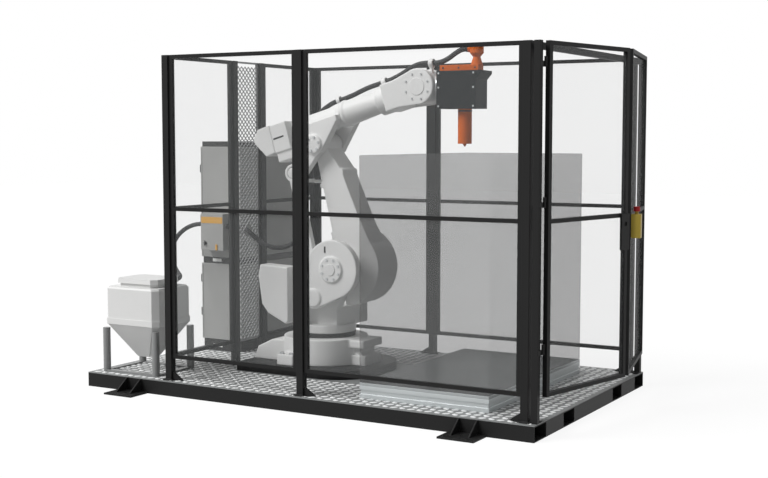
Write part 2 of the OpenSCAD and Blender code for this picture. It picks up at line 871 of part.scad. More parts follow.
module turret() {
    color(robot_grey) {
        translate([axis_1_x, 0, turret_z]) cylinder(r = ring_radius, h = 60);
        translate([axis_1_x - 190, cheek_near, turret_z + 40])
            cube([400, far_cheek_far - cheek_near, table_top - turret_z - 40]);
        translate(axis_2) difference() {
            union() {
                slab_y(cheek_near, cheek_far) cheek_outline();
                slab_y(far_cheek_near, far_cheek_far) cheek_outline();
            }
            drum_y(shaft_r + running, cheek_near - eps, far_cheek_far + eps);
        }
    }
}

// Motor of axis 2 on the far side
module turret_drives() {
    color(robot_grey) translate(axis_2) {
        drum_y(110, far_cheek_far + seat, far_cheek_far + 50);
        drum_y(75, far_cheek_far + 50, far_cheek_far + 200);
    }
}

arm_top_r = 88;
arm_foot_r = 270;
arm_shank = 100;

// Lower arm in its own frame, axis 2 at the origin and axis 3 up its Z axis
lower_clamp = elbow_hose_route[0];
clip_reach = 140;
module lower_arm() {
    color(robot_grey) {
        at_lower_arm() {
            difference() {
                union() {
                    slab_y(arm_near, arm_far) {
                        circle(arm_foot_r);
                        link_outline(arm_foot_r - 60, arm_top_r, [0, lower_arm_length]);
                    }
                    drum_y(arm_foot_r - 20, arm_far, hub_far);
                    drum_y(shaft_r, cheek_near, far_cheek_far);
                    drum_y(crank_shaft_r, crank_near + crank_cap + seat, cheek_near);
                }
                translate([0, 0, lower_arm_length])
                    drum_y(elbow_pin_r + running, arm_near - eps, arm_far + eps);
            }
        }
        // Clip on the back edge that guides the feed hose
        translate(lower_clamp) difference() {
            translate([0, 0, -clamp_h / 2]) {
                cylinder(r = clamp_r, h = clamp_h);
                translate([0, -arm_width / 2, 0]) cube([clip_reach, arm_width, clamp_h]);
            }
            hose_bore(clamp_h + 2 * eps);
        }
    }
}

crank_hub_r = 205;
crank_pin_r = 80;
weight_front = -300;
weight_near = crank_near - 90;
weight_far = -ring_radius - 7;

module crank() {
    color(robot_grey) translate(axis_2) difference() {
        union() {
            slab_y(crank_near, crank_far) {
                link_outline(crank_hub_r, crank_pin_r, [crank_pin[0], crank_pin[2]]);
                polygon([[0, 60], [weight_front, -20], [weight_front, -250], [-100, -220]]);
            }
            drum_y(90, crank_near - 14, crank_near);
            translate(crank_pin) {
                drum_y(62, crank_near - 12, crank_near);
                drum_y(rod_pin_r, crank_far, rod_far);
            }
        }
        drum_y(crank_shaft_r + running, crank_near + crank_cap, crank_far + eps);
    }
}

module counterweight() {
    color(robot_grey) translate(axis_2 + [weight_front, 0, 0])
        slab_y(weight_near, weight_far)
            polygon([[0, 10], [-235, 20], [-250, -60], [-220, -260], [-170, -320], [-20, -390], [0, -370]]);
}

rod_eye_r = 62;
module link_rod() {
    open_pivot = 2;
    color(robot_grey) translate(axis_2 + crank_pin) rotate([0, -lower_arm_lean, 0]) difference() {
        slab_y(rod_near, rod_far) {
            circle(rod_eye_r);
            translate([0, lower_arm_length]) circle(rod_eye_r);
            translate([-36, 0]) square([72, lower_arm_length]);
        }
        drum_y(rod_pin_r + running, rod_near - eps, rod_far + eps);
        translate([0, 0, lower_arm_length])
            drum_y(rod_pin_r + open_pivot, rod_near - eps, rod_far + eps);
    }
}

elbow_r = 112;
housing_rear = -330;
housing_front = 240;
head_top = 95;
head_bottom = -18;
head_front = 150;
lug_front = 80;
cheek_end_r = 105;
elbow_clamp = forearm_hose_route[0];

// The elbow casting in the forearm's frame: a head over the lower arm's end, two cheeks beside it,
// a lug for the parallel rod and a round nose that carries the forearm
module elbow_housing() {
    rear_depth = 100;
    rear_length = 190;
    rear_far = 120;
    lug_r = 90;
    lug_step = 4;
    pin_root = 10;
    color(robot_grey) {
        at_forearm() {
            slab_y(cheek_near, elbow_far_far) translate([housing_rear, head_bottom])
                square([head_front - housing_rear, head_top - head_bottom]);
            slab_y(cheek_near, rear_far) translate([housing_rear, -rear_depth])
                square([rear_length, rear_depth + head_bottom + eps]);
            for (layer = [[cheek_near, cheek_far], [elbow_far_near, elbow_far_far]])
                slab_y(layer[0], layer[1]) {
                    translate([0, -elbow_rise]) circle(cheek_end_r);
                    translate([flank_inset - cheek_end_r, -elbow_rise])
                        square([cheek_end_r - flank_inset + lug_front, elbow_rise]);
                }
            drum_x(elbow_r, head_front - 30, housing_front - 30);
            drum_x(elbow_r - 10, housing_front - 30, housing_front);
            standing_clamp(in_forearm(elbow_clamp), elbow_r - 30);
        }
        translate(axis_3) {
            drum_y(elbow_pin_r, cheek_far - pin_root, elbow_far_near + pin_root);
            slab_y(cheek_near + lug_step, cheek_far - lug_step)
                link_outline(lug_r, rod_eye_r, [crank_pin[0], crank_pin[2]]);
            translate(crank_pin) drum_y(rod_pin_r, rod_near, cheek_near + 2 * lug_step);
            drum_y(80, cheek_near - 14, cheek_near);
        }
    }
}

module elbow_drives() {
    motor_r = 58;
    color(robot_grey) at_forearm()
        for (p = [[-70, 20], [60, 20], [150, -10]])
            translate([0, p[0], p[1]]) drum_x(p[0] == 150 ? 45 : motor_r, housing_rear - 165, housing_rear - seat);
}

tube_start = housing_front + seat;
tube_end = 536;
fork_end = 755;
fork_half = 105;
fork_inner = 72;
fork_r = 122;
collar_r = 98;
forearm_clamp = wrist_hose_route[0];

module forearm_tube() {
    color(robot_grey) {
        difference() {
            at_forearm() {
                drum_x(96, tube_start, tube_start + 24);
                translate([tube_start + 24, 0, 0]) rotate([0, 90, 0])
                    cylinder(r1 = 90, r2 = 76, h = tube_end - tube_start - 24);
                drum_x(collar_r, tube_end, tube_end + 70);
                translate([tube_end + 70, -fork_half, -95]) cube([fork_end - tube_end - 70, 2 * fork_half, 190]);
                translate([forearm_length, 0, 0])
                    for (layer = [[-fork_half, -fork_inner], [fork_inner, fork_half]])
                        slab_y(layer[0], layer[1]) link_outline(fork_r, 95, [fork_end - forearm_length - 40, 0]);
            }
            translate(axis_5) drum_y(elbow_pin_r + running, -fork_half + 10, fork_half - 10);
        }
        at_forearm() standing_clamp(in_forearm(forearm_clamp), collar_r - 30);
    }
}

wrist_drum_r = 116;
wrist_clamp = tool_hose_route[0];
spigot_r = 40;
flange_thickness = 12;

module wrist() {
    color(robot_grey) {
        translate(axis_5) difference() {
            union() {
                drum_y(wrist_drum_r, -fork_inner + 4, fork_inner - 4);
                drum_y(elbow_pin_r, -fork_half + 12, fork_half - 12);
                drum_x(66, 0, wrist_length - flange_thickness);
            }
            drum_x(spigot_r + running, wrist_length - 60, wrist_length);
        }
        translate(axis_5) standing_clamp(wrist_clamp - axis_5, wrist_drum_r - 50);
    }
}

module tool_flange() {
    color("#B9BBBC") translate(axis_5) {
        drum_x(80, wrist_length - flange_thickness + seat, wrist_length);
        drum_x(spigot_r, wrist_length - 59, wrist_length);
    }
}

// Extruder

housing_bottom = axis_5[2] - housing_drop;
housing_top = axis_5[2] + housing_rise;
barrel_x = flange_x + 170;
funnel_x = flange_x + 255;

module extruder_housing() {
    color(housing_grey) slab_y(-housing_width / 2, housing_width / 2)
        polygon([
            [flange_x, housing_bottom], [flange_x + housing_length, housing_bottom],
            [flange_x + housing_length, housing_top - 60], [flange_x + housing_length + 35, housing_top - 20],
            [flange_x + housing_length + 35, housing_top], [flange_x, housing_top]
        ]);
}

module extruder_barrel() {
    color(orange) translate([barrel_x, 0, housing_bottom - barrel_length]) {
        cylinder(d = barrel_d, h = barrel_length);
        translate([0, 0, -18]) cylinder(r1 = 4, r2 = 14, h = 18);
    }
}

module feed_gearbox() {
    color(orange) translate([flange_x, -40, housing_top]) cube([funnel_x - flange_x + 30, 80, gearbox_height]);
}

funnel_z = housing_top + gearbox_height;
feed_inlet = tool_hose_route[len(tool_hose_route) - 1];

// Two cones under a round cup, with an inlet stub on its side for the feed hose
module feed_funnel() {
    neck_r = 24;
    neck_z = 50;
    cup_r = 46;
    cup_z = 75;
    color(orange) {
        translate([funnel_x, 0, funnel_z]) {
            cylinder(r1 = 40, r2 = neck_r, h = neck_z);
            translate([0, 0, neck_z]) cylinder(r1 = neck_r, r2 = cup_r, h = cup_z - neck_z);
            translate([0, 0, cup_z]) cylinder(r = cup_r, h = funnel_height - cup_z);
        }
        translate(feed_inlet) drum_x(hose_d / 2 + 5, 0, funnel_x - feed_inlet[0]);
    }
}

// Hoses

module hopper_hose() { hose(hopper_hose_route); }
module feed_hose_wall() { hose(wall_hose_route); }
module feed_hose_riser() { hose(riser_hose_route); }
module feed_hose_elbow() { hose(elbow_hose_route); }
module feed_hose_forearm() { hose(forearm_hose_route); }
module feed_hose_wrist() { hose(wrist_hose_route); }
module feed_hose_tool() { hose(tool_hose_route); }

skid_long_tubes();
skid_cross_members();
anchor_brackets();
deck_plate();
robot_plate();
fence_posts();
door_posts();
door_header();
door_hinges();
front_wall_frames();
back_wall_frames();
left_wall_frames();
front_wall_glass();
back_wall_glass();
left_wall_glass();
mesh_panel();
lower_cabinet();
upper_cabinet();
cabinet_trim();
cabinet_hinges();
cable_hoods();
control_box();
hopper_bin();
hopper_lid();
hopper_stand();
bed_frame();
bed_plate();
robot_base();
swivel_ring();
turret();
turret_drives();
lower_arm();
crank();
counterweight();
link_rod();
elbow_housing();
elbow_drives();
forearm_tube();
wrist();
tool_flange();
extruder_housing();
extruder_barrel();
feed_gearbox();
feed_funnel();
near_leaf_frame();
near_leaf_glass();
near_leaf_lock();
far_leaf_frame();
far_leaf_glass();
interlock_switch();
hopper_hose();
feed_hose_wall();
feed_hose_riser();
feed_hose_elbow();
feed_hose_forearm();
feed_hose_wrist();
feed_hose_tool();
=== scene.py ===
import math

import bmesh
import bpy
from mathutils import Matrix, Vector


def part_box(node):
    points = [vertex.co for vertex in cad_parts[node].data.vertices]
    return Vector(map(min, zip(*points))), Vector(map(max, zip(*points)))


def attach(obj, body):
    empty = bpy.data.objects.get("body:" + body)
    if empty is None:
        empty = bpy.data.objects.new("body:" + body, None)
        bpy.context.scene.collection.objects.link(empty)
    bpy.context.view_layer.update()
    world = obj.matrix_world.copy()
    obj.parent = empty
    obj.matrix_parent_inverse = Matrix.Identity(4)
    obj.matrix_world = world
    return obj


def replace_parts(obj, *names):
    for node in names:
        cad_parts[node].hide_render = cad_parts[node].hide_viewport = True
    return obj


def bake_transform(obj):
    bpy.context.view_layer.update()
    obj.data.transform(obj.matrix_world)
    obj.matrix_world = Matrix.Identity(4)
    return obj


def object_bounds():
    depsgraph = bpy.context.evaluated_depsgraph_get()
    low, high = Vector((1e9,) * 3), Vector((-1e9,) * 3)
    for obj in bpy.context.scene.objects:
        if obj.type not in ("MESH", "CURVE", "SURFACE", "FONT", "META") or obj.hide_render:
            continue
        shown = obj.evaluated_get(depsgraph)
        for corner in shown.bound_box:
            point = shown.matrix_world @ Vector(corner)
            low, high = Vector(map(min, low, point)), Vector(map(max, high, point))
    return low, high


# Looks of the robotic printing cell, in metres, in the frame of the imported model: +Z up, the origin
# on the floor at the middle of the four anchor bolts, +X towards the double door.
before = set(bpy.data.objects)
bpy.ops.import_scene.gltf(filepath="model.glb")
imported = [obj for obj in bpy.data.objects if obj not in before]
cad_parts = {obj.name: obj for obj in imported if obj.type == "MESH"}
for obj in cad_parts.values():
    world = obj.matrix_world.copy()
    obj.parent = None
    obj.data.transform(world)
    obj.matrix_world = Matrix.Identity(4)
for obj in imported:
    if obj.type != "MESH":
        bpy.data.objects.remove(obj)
cad_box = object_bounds()

MM = 0.001
UP = Vector((0, 0, 1))
NEAR = Vector((0, -1, 0))
WHITE = (1, 1, 1, 1)

# Camera, as the photograph was taken
PHOTO_WIDTH = 768
FOCAL_PIXELS = 1264.74
SENSOR_WIDTH = 36.0
CAMERA_PLACE = Vector((4.505, -7.600, 1.751))
CAMERA_YAW = math.radians(-29.8208)
CAMERA_PITCH = math.radians(-4.5948)

# Light
FILL_LEVEL = 0.22
KEY_LEVEL = 3.0
KEY_DIRECTION = Vector((0.55, 0.62, -0.80))
KEY_SOFTNESS = math.radians(30)
FLOOR_SIZE = 60.0
FLOOR_COLOUR = "#C8C8C8"
FLOOR_SHADE = 0.20
FLOOR_GLOW = 1.14

# Hoses: centre lines in millimetres, from one clamp to the next
HOSE_DIAMETER = 0.034
HOSE_SIDES = 20
HOSE_STEPS = 8
HOPPER_ROUTE = [
    (-1525, 144, 1085), (-1552, 144, 1085), (-1579, 142, 1084), (-1621, 130, 1076), (-1656, 102, 1058),
    (-1676, 62, 1032), (-1681, 14, 1000), (-1671, -40, 962), (-1646, -96, 922), (-1606, -154, 880),
    (-1556, -208, 840), (-1504, -256, 805), (-1450, -300, 778), (-1400, -338, 759), (-1354, -376, 747),
    (-1318, -424, 738), (-1302, -466, 735), (-1300, -493, 735), (-1300, -520, 735),
]
WALL_ROUTE = [
    (-1313, 144, 1075), (-1283, 144, 1075), (-1253, 143, 1075), (-1200, 132, 1077), (-1148, 104, 1079),
    (-1098, 66, 1078), (-1052, 28, 1072), (-1011, 0, 1062), (-962, -26, 1042), (-905, -44, 1014),
    (-845, -50, 982), (-785, -42, 958), (-725, -20, 950), (-670, 8, 960), (-624, 34, 990),
    (-595, 52, 1034), (-582, 59, 1080), (-580, 60, 1115), (-580, 60, 1150),
]
RISER_ROUTE = [
    (-580, 60, 1150), (-580, 60, 1185), (-578, 61, 1220), (-568, 64, 1265), (-550, 69, 1310),
    (-528, 75, 1350), (-511, 79, 1385), (-505, 80, 1414), (-505, 80, 1440),
]
ELBOW_ROUTE = [
    (-505, 80, 1440), (-505, 80, 1475), (-506, 82, 1510), (-513, 92, 1555), (-528, 114, 1602),
    (-549, 146, 1649), (-571, 184, 1698), (-586, 220, 1752), (-588, 246, 1810), (-574, 254, 1866),
    (-540, 245, 1914), (-492, 222, 1948), (-440, 188, 1968), (-390, 150, 1982), (-346, 122, 1994),
    (-308, 110, 2005), (-280, 110, 2013),
]
FOREARM_ROUTE = [
    (-280, 110, 2013), (-252, 110, 2021), (-224, 110, 2029), (-150, 100, 2052), (-80, 82, 2076),
    (-10, 66, 2098), (64, 60, 2118), (92, 60, 2126), (120, 60, 2134),
]
WRIST_ROUTE = [
    (120, 60, 2134), (148, 60, 2142), (176, 60, 2150), (240, 50, 2174), (310, 32, 2204),
    (370, 14, 2230), (430, 3, 2246), (480, 0, 2250), (500, 0, 2250), (520, 0, 2250),
]
TOOL_ROUTE = [
    (520, 0, 2250), (545, 0, 2250), (570, 0, 2251), (612, 0, 2261), (655, 0, 2282),
    (698, 0, 2309), (736, 0, 2328), (768, 0, 2334), (795, 0, 2334),
]
# Each hose node with its route and the body or bodies that hold its ends
HOSES = [
    ("hopper_hose", HOPPER_ROUTE, ["root"]),
    ("feed_hose_wall", WALL_ROUTE, ["root", "turret"]),
    ("feed_hose_riser", RISER_ROUTE, ["turret", "lower_arm"]),
    ("feed_hose_elbow", ELBOW_ROUTE, ["lower_arm", "elbow"]),
    ("feed_hose_forearm", FOREARM_ROUTE, ["elbow", "forearm"]),
    ("feed_hose_wrist", WRIST_ROUTE, ["forearm", "wrist"]),
    ("feed_hose_tool", TOOL_ROUTE, ["wrist", "tool"]),
]


def srgb(code):
    """Linear colour of a hex code."""
    channels = [int(code[i:i + 2], 16) / 255 for i in (1, 3, 5)]
    linear = [c / 12.92 if c <= 0.04045 else ((c + 0.055) / 1.055) ** 2.4 for c in channels]
    return (*linear, 1.0)


def scaled(colour, factor):
    """The colour made darker or lighter."""
    return (*[min(1.0, c * factor) for c in colour[:3]], 1.0)


# Camera and light

def make_camera():
    """The camera that took the photograph."""
    data = bpy.data.cameras.new("camera")
    data.sensor_fit = "HORIZONTAL"
    data.sensor_width = SENSOR_WIDTH
    data.lens = SENSOR_WIDTH * FOCAL_PIXELS / PHOTO_WIDTH
    camera = bpy.data.objects.new("camera", data)
    forward = Vector((
        math.sin(CAMERA_YAW) * math.cos(CAMERA_PITCH),
        math.cos(CAMERA_YAW) * math.cos(CAMERA_PITCH),
        math.sin(CAMERA_PITCH),
    ))
    camera.location = CAMERA_PLACE
    camera.rotation_mode = "QUATERNION"
    camera.rotation_quaternion = forward.to_track_quat("-Z", "Y")
    bpy.context.scene.collection.objects.link(camera)
    bpy.context.scene.camera = camera


def white_to_the_eye(tree):
    """A value that is 1 where a camera, mirror or glass ray looks, and 0 for the light itself."""
    path = tree.nodes.new("ShaderNodeLightPath")
    seen = path.outputs["Is Camera Ray"]
    for ray in ("Is Glossy Ray", "Is Transmission Ray"):
        either = tree.nodes.new("ShaderNodeMath")
        either.operation = "MAXIMUM"
        tree.links.new(seen, either.inputs[0])
        tree.links.new(path.outputs[ray], either.inputs[1])
        seen = either.outputs[0]
    return seen


def make_world():
    """Surroundings that are white to the eye and light the scene with less."""
    world = bpy.data.worlds.new("studio")
    world.use_nodes = True
    tree = world.node_tree
    tree.nodes.clear()
    fill = tree.nodes.new("ShaderNodeBackground")
    fill.inputs["Strength"].default_value = FILL_LEVEL
    white = tree.nodes.new("ShaderNodeBackground")
    mix = tree.nodes.new("ShaderNodeMixShader")
    out = tree.nodes.new("ShaderNodeOutputWorld")
    for background in (fill, white):
        background.inputs["Color"].default_value = WHITE
    tree.links.new(white_to_the_eye(tree), mix.inputs[0])
    tree.links.new(fill.outputs[0], mix.inputs[1])
    tree.links.new(white.outputs[0], mix.inputs[2])
    tree.links.new(mix.outputs[0], out.inputs["Surface"])
    bpy.context.scene.world = world


def make_key_light():
    """A soft sun from above, to the left of the camera."""
    data = bpy.data.lights.new("key", "SUN")
    data.energy = KEY_LEVEL
    data.angle = KEY_SOFTNESS
    key = bpy.data.objects.new("key", data)
    key.rotation_mode = "QUATERNION"
    key.rotation_quaternion = KEY_DIRECTION.to_track_quat("-Z", "Y")
    bpy.context.scene.collection.objects.link(key)


def floor_material():
    """White to the eye, apart from a share that keeps the shadow."""
    material = bpy.data.materials.new("floor")
    material.use_nodes = True
    tree = material.node_tree
    tree.nodes.clear()
    matt = tree.nodes.new("ShaderNodeBsdfDiffuse")
    matt.inputs["Color"].default_value = srgb(FLOOR_COLOUR)
    white = tree.nodes.new("ShaderNodeEmission")
    white.inputs["Color"].default_value = WHITE
    white.inputs["Strength"].default_value = FLOOR_GLOW
    share = tree.nodes.new("ShaderNodeMath")
    share.operation = "MULTIPLY"
    share.inputs[1].default_value = 1 - FLOOR_SHADE
    mix = tree.nodes.new("ShaderNodeMixShader")
    out = tree.nodes.new("ShaderNodeOutputMaterial")
    tree.links.new(white_to_the_eye(tree), share.inputs[0])
    tree.links.new(share.outputs[0], mix.inputs[0])
    tree.links.new(matt.outputs[0], mix.inputs[1])
    tree.links.new(white.outputs[0], mix.inputs[2])
    tree.links.new(mix.outputs[0], out.inputs["Surface"])
    return material


def make_floor():
    """A wide pale floor under the part."""
    bm = bmesh.new()
    bmesh.ops.create_grid(bm, x_segments=1, y_segments=1, size=FLOOR_SIZE / 2)
    mesh = bpy.data.meshes.new("floor")
    bm.to_mesh(mesh)
    bm.free()
    mesh.materials.append(floor_material())
    floor = bpy.data.objects.new("floor", mesh)
    floor.location.z = cad_box[0].z
    bpy.context.scene.collection.objects.link(floor)


# Materials

NOISE_DETAIL = 3.0
# The range that most values of a noise lie in
NOISE_LOW = 0.3
NOISE_HIGH = 0.7
GLOSS_SPREAD = 0.06
HAZE_SIZE = 0.6
HAZE_TONE = 0.04
HAZE_SPREAD = 0.05


def new_material(name):
    """A material with one principled shader, and its node tree."""
    material = bpy.data.materials.new(name)
    material.use_nodes = True
    tree = material.node_tree
    tree.nodes.clear()
    shader = tree.nodes.new("ShaderNodeBsdfPrincipled")
    out = tree.nodes.new("ShaderNodeOutputMaterial")
    tree.links.new(shader.outputs[0], out.inputs["Surface"])
    return material, tree, shader


def noise(tree, size, stretch=(1, 1, 1)):
    """Noise whose features are about size metres across, in the piece's own coordinates."""
    place = tree.nodes.new("ShaderNodeTexCoord")
    mapping = tree.nodes.new("ShaderNodeMapping")
    mapping.inputs["Scale"].default_value = stretch
    texture = tree.nodes.new("ShaderNodeTexNoise")
    texture.inputs["Scale"].default_value = 1 / size
    texture.inputs["Detail"].default_value = NOISE_DETAIL
    tree.links.new(place.outputs["Object"], mapping.inputs["Vector"])
    tree.links.new(mapping.outputs[0], texture.inputs["Vector"])
    return texture.outputs["Fac"]


def between(tree, value, low, high):
    """A noise spread from low to high."""
    spread = tree.nodes.new("ShaderNodeMapRange")
    spread.inputs["From Min"].default_value = NOISE_LOW
    spread.inputs["From Max"].default_value = NOISE_HIGH
    spread.inputs["To Min"].default_value = low
    spread.inputs["To Max"].default_value = high
    tree.links.new(value, spread.inputs["Value"])
    return spread.outputs[0]


def two_tones(tree, value, dark, light):
    """A noise as a colour from dark to light."""
    ramp = tree.nodes.new("ShaderNodeValToRGB")
    stops = ((NOISE_LOW, dark), (NOISE_HIGH, light))
    for element, (position, colour) in zip(ramp.color_ramp.elements, stops):
        element.position = position
        element.color = colour
    tree.links.new(value, ramp.inputs[0])
    return ramp.outputs["Color"]


def add_bump(tree, shader, value, height):
    """Relief of the given height in metres."""
    bump = tree.nodes.new("ShaderNodeBump")
    bump.inputs["Distance"].default_value = height
    tree.links.new(value, bump.inputs["Height"])
    tree.links.new(bump.outputs[0], shader.inputs["Normal"])


def surface(name, code, rough, tone=0.05, tone_size=0.25, grain_size=0.002, relief=0.00008,
            metallic=0.0, specular=0.5, stretch=(1, 1, 1)):
    """A finish with slow changes of tone, uneven gloss and a fine grain."""
    material, tree, shader = new_material(name)
    colour = srgb(code)
    cloud = noise(tree, tone_size)
    grain = noise(tree, grain_size, stretch=stretch)
    tree.links.new(
        two_tones(tree, cloud, scaled(colour, 1 - tone), scaled(colour, 1 + tone)),
        shader.inputs["Base Color"],
    )
    gloss = between(tree, grain, rough - GLOSS_SPREAD, rough + GLOSS_SPREAD)
    tree.links.new(gloss, shader.inputs["Roughness"])
    shader.inputs["Metallic"].default_value = metallic
    shader.inputs["Specular IOR Level"].default_value = specular
    add_bump(tree, shader, grain, relief)
    return material


def clear_sheet(name, code, alpha, rough, specular=0.5):
    """A clear pane: mostly see-through, with a faint tint and gloss."""
    material, tree, shader = new_material(name)
    colour = srgb(code)
    haze = noise(tree, HAZE_SIZE)
    tree.links.new(
        two_tones(tree, haze, scaled(colour, 1 - HAZE_TONE), scaled(colour, 1 + HAZE_TONE)),
        shader.inputs["Base Color"],
    )
    tree.links.new(between(tree, haze, rough, rough + HAZE_SPREAD), shader.inputs["Roughness"])
    shader.inputs["Alpha"].default_value = alpha
    shader.inputs["Specular IOR Level"].default_value = specular
    return material


# Finish of each slot: colour, roughness and what differs from a plain surface
FINISHES = {
    "black_paint": ("#1A1A1A", 0.55, dict(grain_size=0.0016, relief=0.00006, specular=0.18)),
    "dark_paint": ("#333333", 0.55, dict(grain_size=0.0016, relief=0.00006, specular=0.2)),
    "tread_plate": ("#868888", 0.5, dict(tone=0.12, tone_size=0.04)),
    "cabinet_paint": ("#A6A6A4", 0.52, dict(grain_size=0.003, relief=0.00012, specular=0.3)),
    "cabinet_black": ("#2A2A2A", 0.55, dict(specular=0.25)),
    "hood_plastic": ("#C9C6BC", 0.45, {}),
    "hopper_plastic": ("#E2E2E1", 0.42, dict(tone=0.02, specular=0.35)),
    "stand_steel": ("#8A8B8B", 0.42, dict(metallic=0.2, tone=0.08)),
    "bed_aluminium": ("#CDD2D3", 0.35, dict(metallic=0.4, stretch=(0.03, 1, 1))),
    "bed_top": ("#A9ADAE", 0.28, dict(tone=0.04, metallic=0.4)),
    "robot_paint": ("#E6E6E5", 0.45, dict(tone=0.02, grain_size=0.004, relief=0.00005, specular=0.3)),
    "ring_dark": ("#303030", 0.55, dict(specular=0.25)),
    "flange_steel": ("#C6C8C9", 0.32, dict(metallic=0.7)),
    "orange_paint": ("#CC5F0C", 0.5, dict(tone=0.04, specular=0.1)),
    "extruder_grey": ("#16191B", 0.55, dict(specular=0.12)),
    "interlock_yellow": ("#C2A83A", 0.45, {}),
    "hose_rubber": ("#303031", 0.6, dict(grain_size=0.0012, specular=0.25)),
}
MATERIALS = {slot: surface(slot, code, rough, **more) for slot, (code, rough, more) in FINISHES.items()}
MATERIALS["clear_panel"] = clear_sheet("clear_panel", "#BFC2C2", 0.06, 0.03)
NODES_OF_SLOT = {
    "black_paint": [
        "skid_long_tubes", "anchor_brackets", "robot_plate", "fence_posts", "door_posts", "door_hinges",
        "front_wall_frames", "back_wall_frames", "left_wall_frames", "near_leaf_frame", "far_leaf_frame",
        "near_leaf_lock",
    ],
    "dark_paint": ["skid_cross_members", "door_header"],
    "tread_plate": ["deck_plate"],
    "clear_panel": [
        "front_wall_glass", "back_wall_glass", "left_wall_glass", "near_leaf_glass", "far_leaf_glass",
    ],
    "cabinet_paint": ["lower_cabinet", "upper_cabinet", "control_box"],
    "cabinet_black": ["cabinet_trim", "cabinet_hinges"],
    "hood_plastic": ["cable_hoods"],
    "hopper_plastic": ["hopper_bin", "hopper_lid"],
    "stand_steel": ["hopper_stand", "mesh_panel"],
    "bed_aluminium": ["bed_frame"],
    "bed_top": ["bed_plate"],
    "robot_paint": [
        "robot_base", "turret", "turret_drives", "lower_arm", "crank", "counterweight", "link_rod",
        "elbow_housing", "elbow_drives", "forearm_tube", "wrist",
    ],
    "ring_dark": ["swivel_ring"],
    "flange_steel": ["tool_flange"],
    "orange_paint": ["extruder_barrel", "feed_gearbox", "feed_funnel"],
    "extruder_grey": ["extruder_housing"],
    "interlock_yellow": ["interlock_switch"],
}


def paint_nodes():
    """Every CAD piece in the finish of its slot; the hoses get theirs with their own pieces."""
    for slot, names in NODES_OF_SLOT.items():
        for name in names:
            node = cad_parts[name]
            node.data.materials.clear()
            node.data.materials.append(MATERIALS[slot])


# Making pieces

SHARP_ANGLE = math.radians(35)
CRISP_ANGLE = math.radians(20)
EDGE_SEGMENTS = 2
DRUM_SIDES = 24


def make_piece(name, bm, body, slot, material=None, sharp=SHARP_ANGLE):
    """A mesh piece that rides on a body and takes its finish from a slot."""
    mesh = bpy.data.meshes.new(name)
    bm.normal_update()
    bm.to_mesh(mesh)
    bm.free()
    mesh.polygons.foreach_set("use_smooth", [True] * len(mesh.polygons))
    mesh.set_sharp_from_angle(angle=sharp)
    mesh.materials.append(material or MATERIALS[slot])
    obj = bpy.data.objects.new(name, mesh)
    bpy.context.scene.collection.objects.link(obj)
    if body:
        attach(obj, body)
    return obj


def add_block(bm, low, high, round_by=0.0):
    """A block between two corners, with its edges rounded."""
    low, high = Vector(low), Vector(high)
    made = bmesh.ops.create_cube(bm, size=1.0)["verts"]
    for vert in made:
        vert.co = Vector([low[i] + (vert.co[i] + 0.5) * (high[i] - low[i]) for i in range(3)])
    if round_by:
        edges = {edge for vert in made for edge in vert.link_edges}
        bmesh.ops.bevel(
            bm, geom=list(edges), offset=round_by, segments=EDGE_SEGMENTS, affect="EDGES", clamp_overlap=True
        )


def facing(middle, axis):
    """A frame at a point, with its Z along an axis."""
    return Matrix.Translation(middle) @ axis.to_track_quat("Z", "Y").to_matrix().to_4x4()


def add_drum(bm, start, end, radius, end_radius=None, sides=DRUM_SIDES):
    """A round bar from start to end."""
    start, end = Vector(start), Vector(end)
    bmesh.ops.create_cone(
        bm, cap_ends=True, segments=sides, radius1=radius,
        radius2=radius if end_radius is None else end_radius, depth=(end - start).length,
        matrix=facing((start + end) / 2, end - start),
    )


def round_angles(sides):
    """Angles of evenly spaced points round a circle."""
    return [2 * math.pi * k / sides for k in range(sides)]


def add_band(bm, low, high):
    """Faces between two rings of equally many points."""
    for k in range(len(low)):
        n = (k + 1) % len(low)
        bm.faces.new((low[k], low[n], high[n], high[k]))


# Hoses

def curve_through(route, steps):
    """Points of a smooth curve through the route's points."""
    points = [Vector(p) * MM for p in route]
    path = []
    for i in range(len(points) - 1):
        a = points[max(i - 1, 0)]
        b, c = points[i], points[i + 1]
        d = points[min(i + 2, len(points) - 1)]
        for s in range(steps):
            t = s / steps
            path.append(
                0.5 * (2 * b + (c - a) * t + (2 * a - 5 * b + 4 * c - d) * t * t
                       + (3 * b - a - 3 * c + d) * t * t * t)
            )
    return path + [points[-1]]


def add_tube(bm, path, radius, sides):
    """A closed round tube along a path."""
    heading = (path[1] - path[0]).normalized()
    side = heading.orthogonal().normalized()
    rings = []
    for i, point in enumerate(path):
        ahead = (path[min(i + 1, len(path) - 1)] - path[max(i - 1, 0)]).normalized()
        side = (side - ahead * side.dot(ahead)).normalized()
        up = ahead.cross(side)
        rings.append([
            bm.verts.new(point + radius * (math.cos(a) * side + math.sin(a) * up))
            for a in round_angles(sides)
        ])
    for low, high in zip(rings, rings[1:]):
        add_band(bm, low, high)
    bm.faces.new(list(reversed(rings[0])))
    bm.faces.new(rings[-1])


def make_hose(node, route, bodies):
    """A rubber hose of its real length along its route: with one body it rides on that body, with two it
    stays where it is.
    """
    path = curve_through(route, HOSE_STEPS)
    bm = bmesh.new()
    add_tube(bm, path, HOSE_DIAMETER / 2, HOSE_SIDES)
    hose = make_piece(node + "_rubber", bm, None, "hose_rubber")
    if len(bodies) == 1:
        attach(hose, bodies[0])
    else:
        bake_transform(hose)
    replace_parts(hose, node)


def make_hoses():
    """All stretches of the two hoses."""
    for node, route, bodies in HOSES:
        make_hose(node, route, bodies)


# Tread plate

LUG_PITCH = 0.0600
LUG_LENGTH = 0.058
LUG_WIDTH = 0.0340
LUG_HEIGHT = 0.004
LUG_MARGIN = 0.030
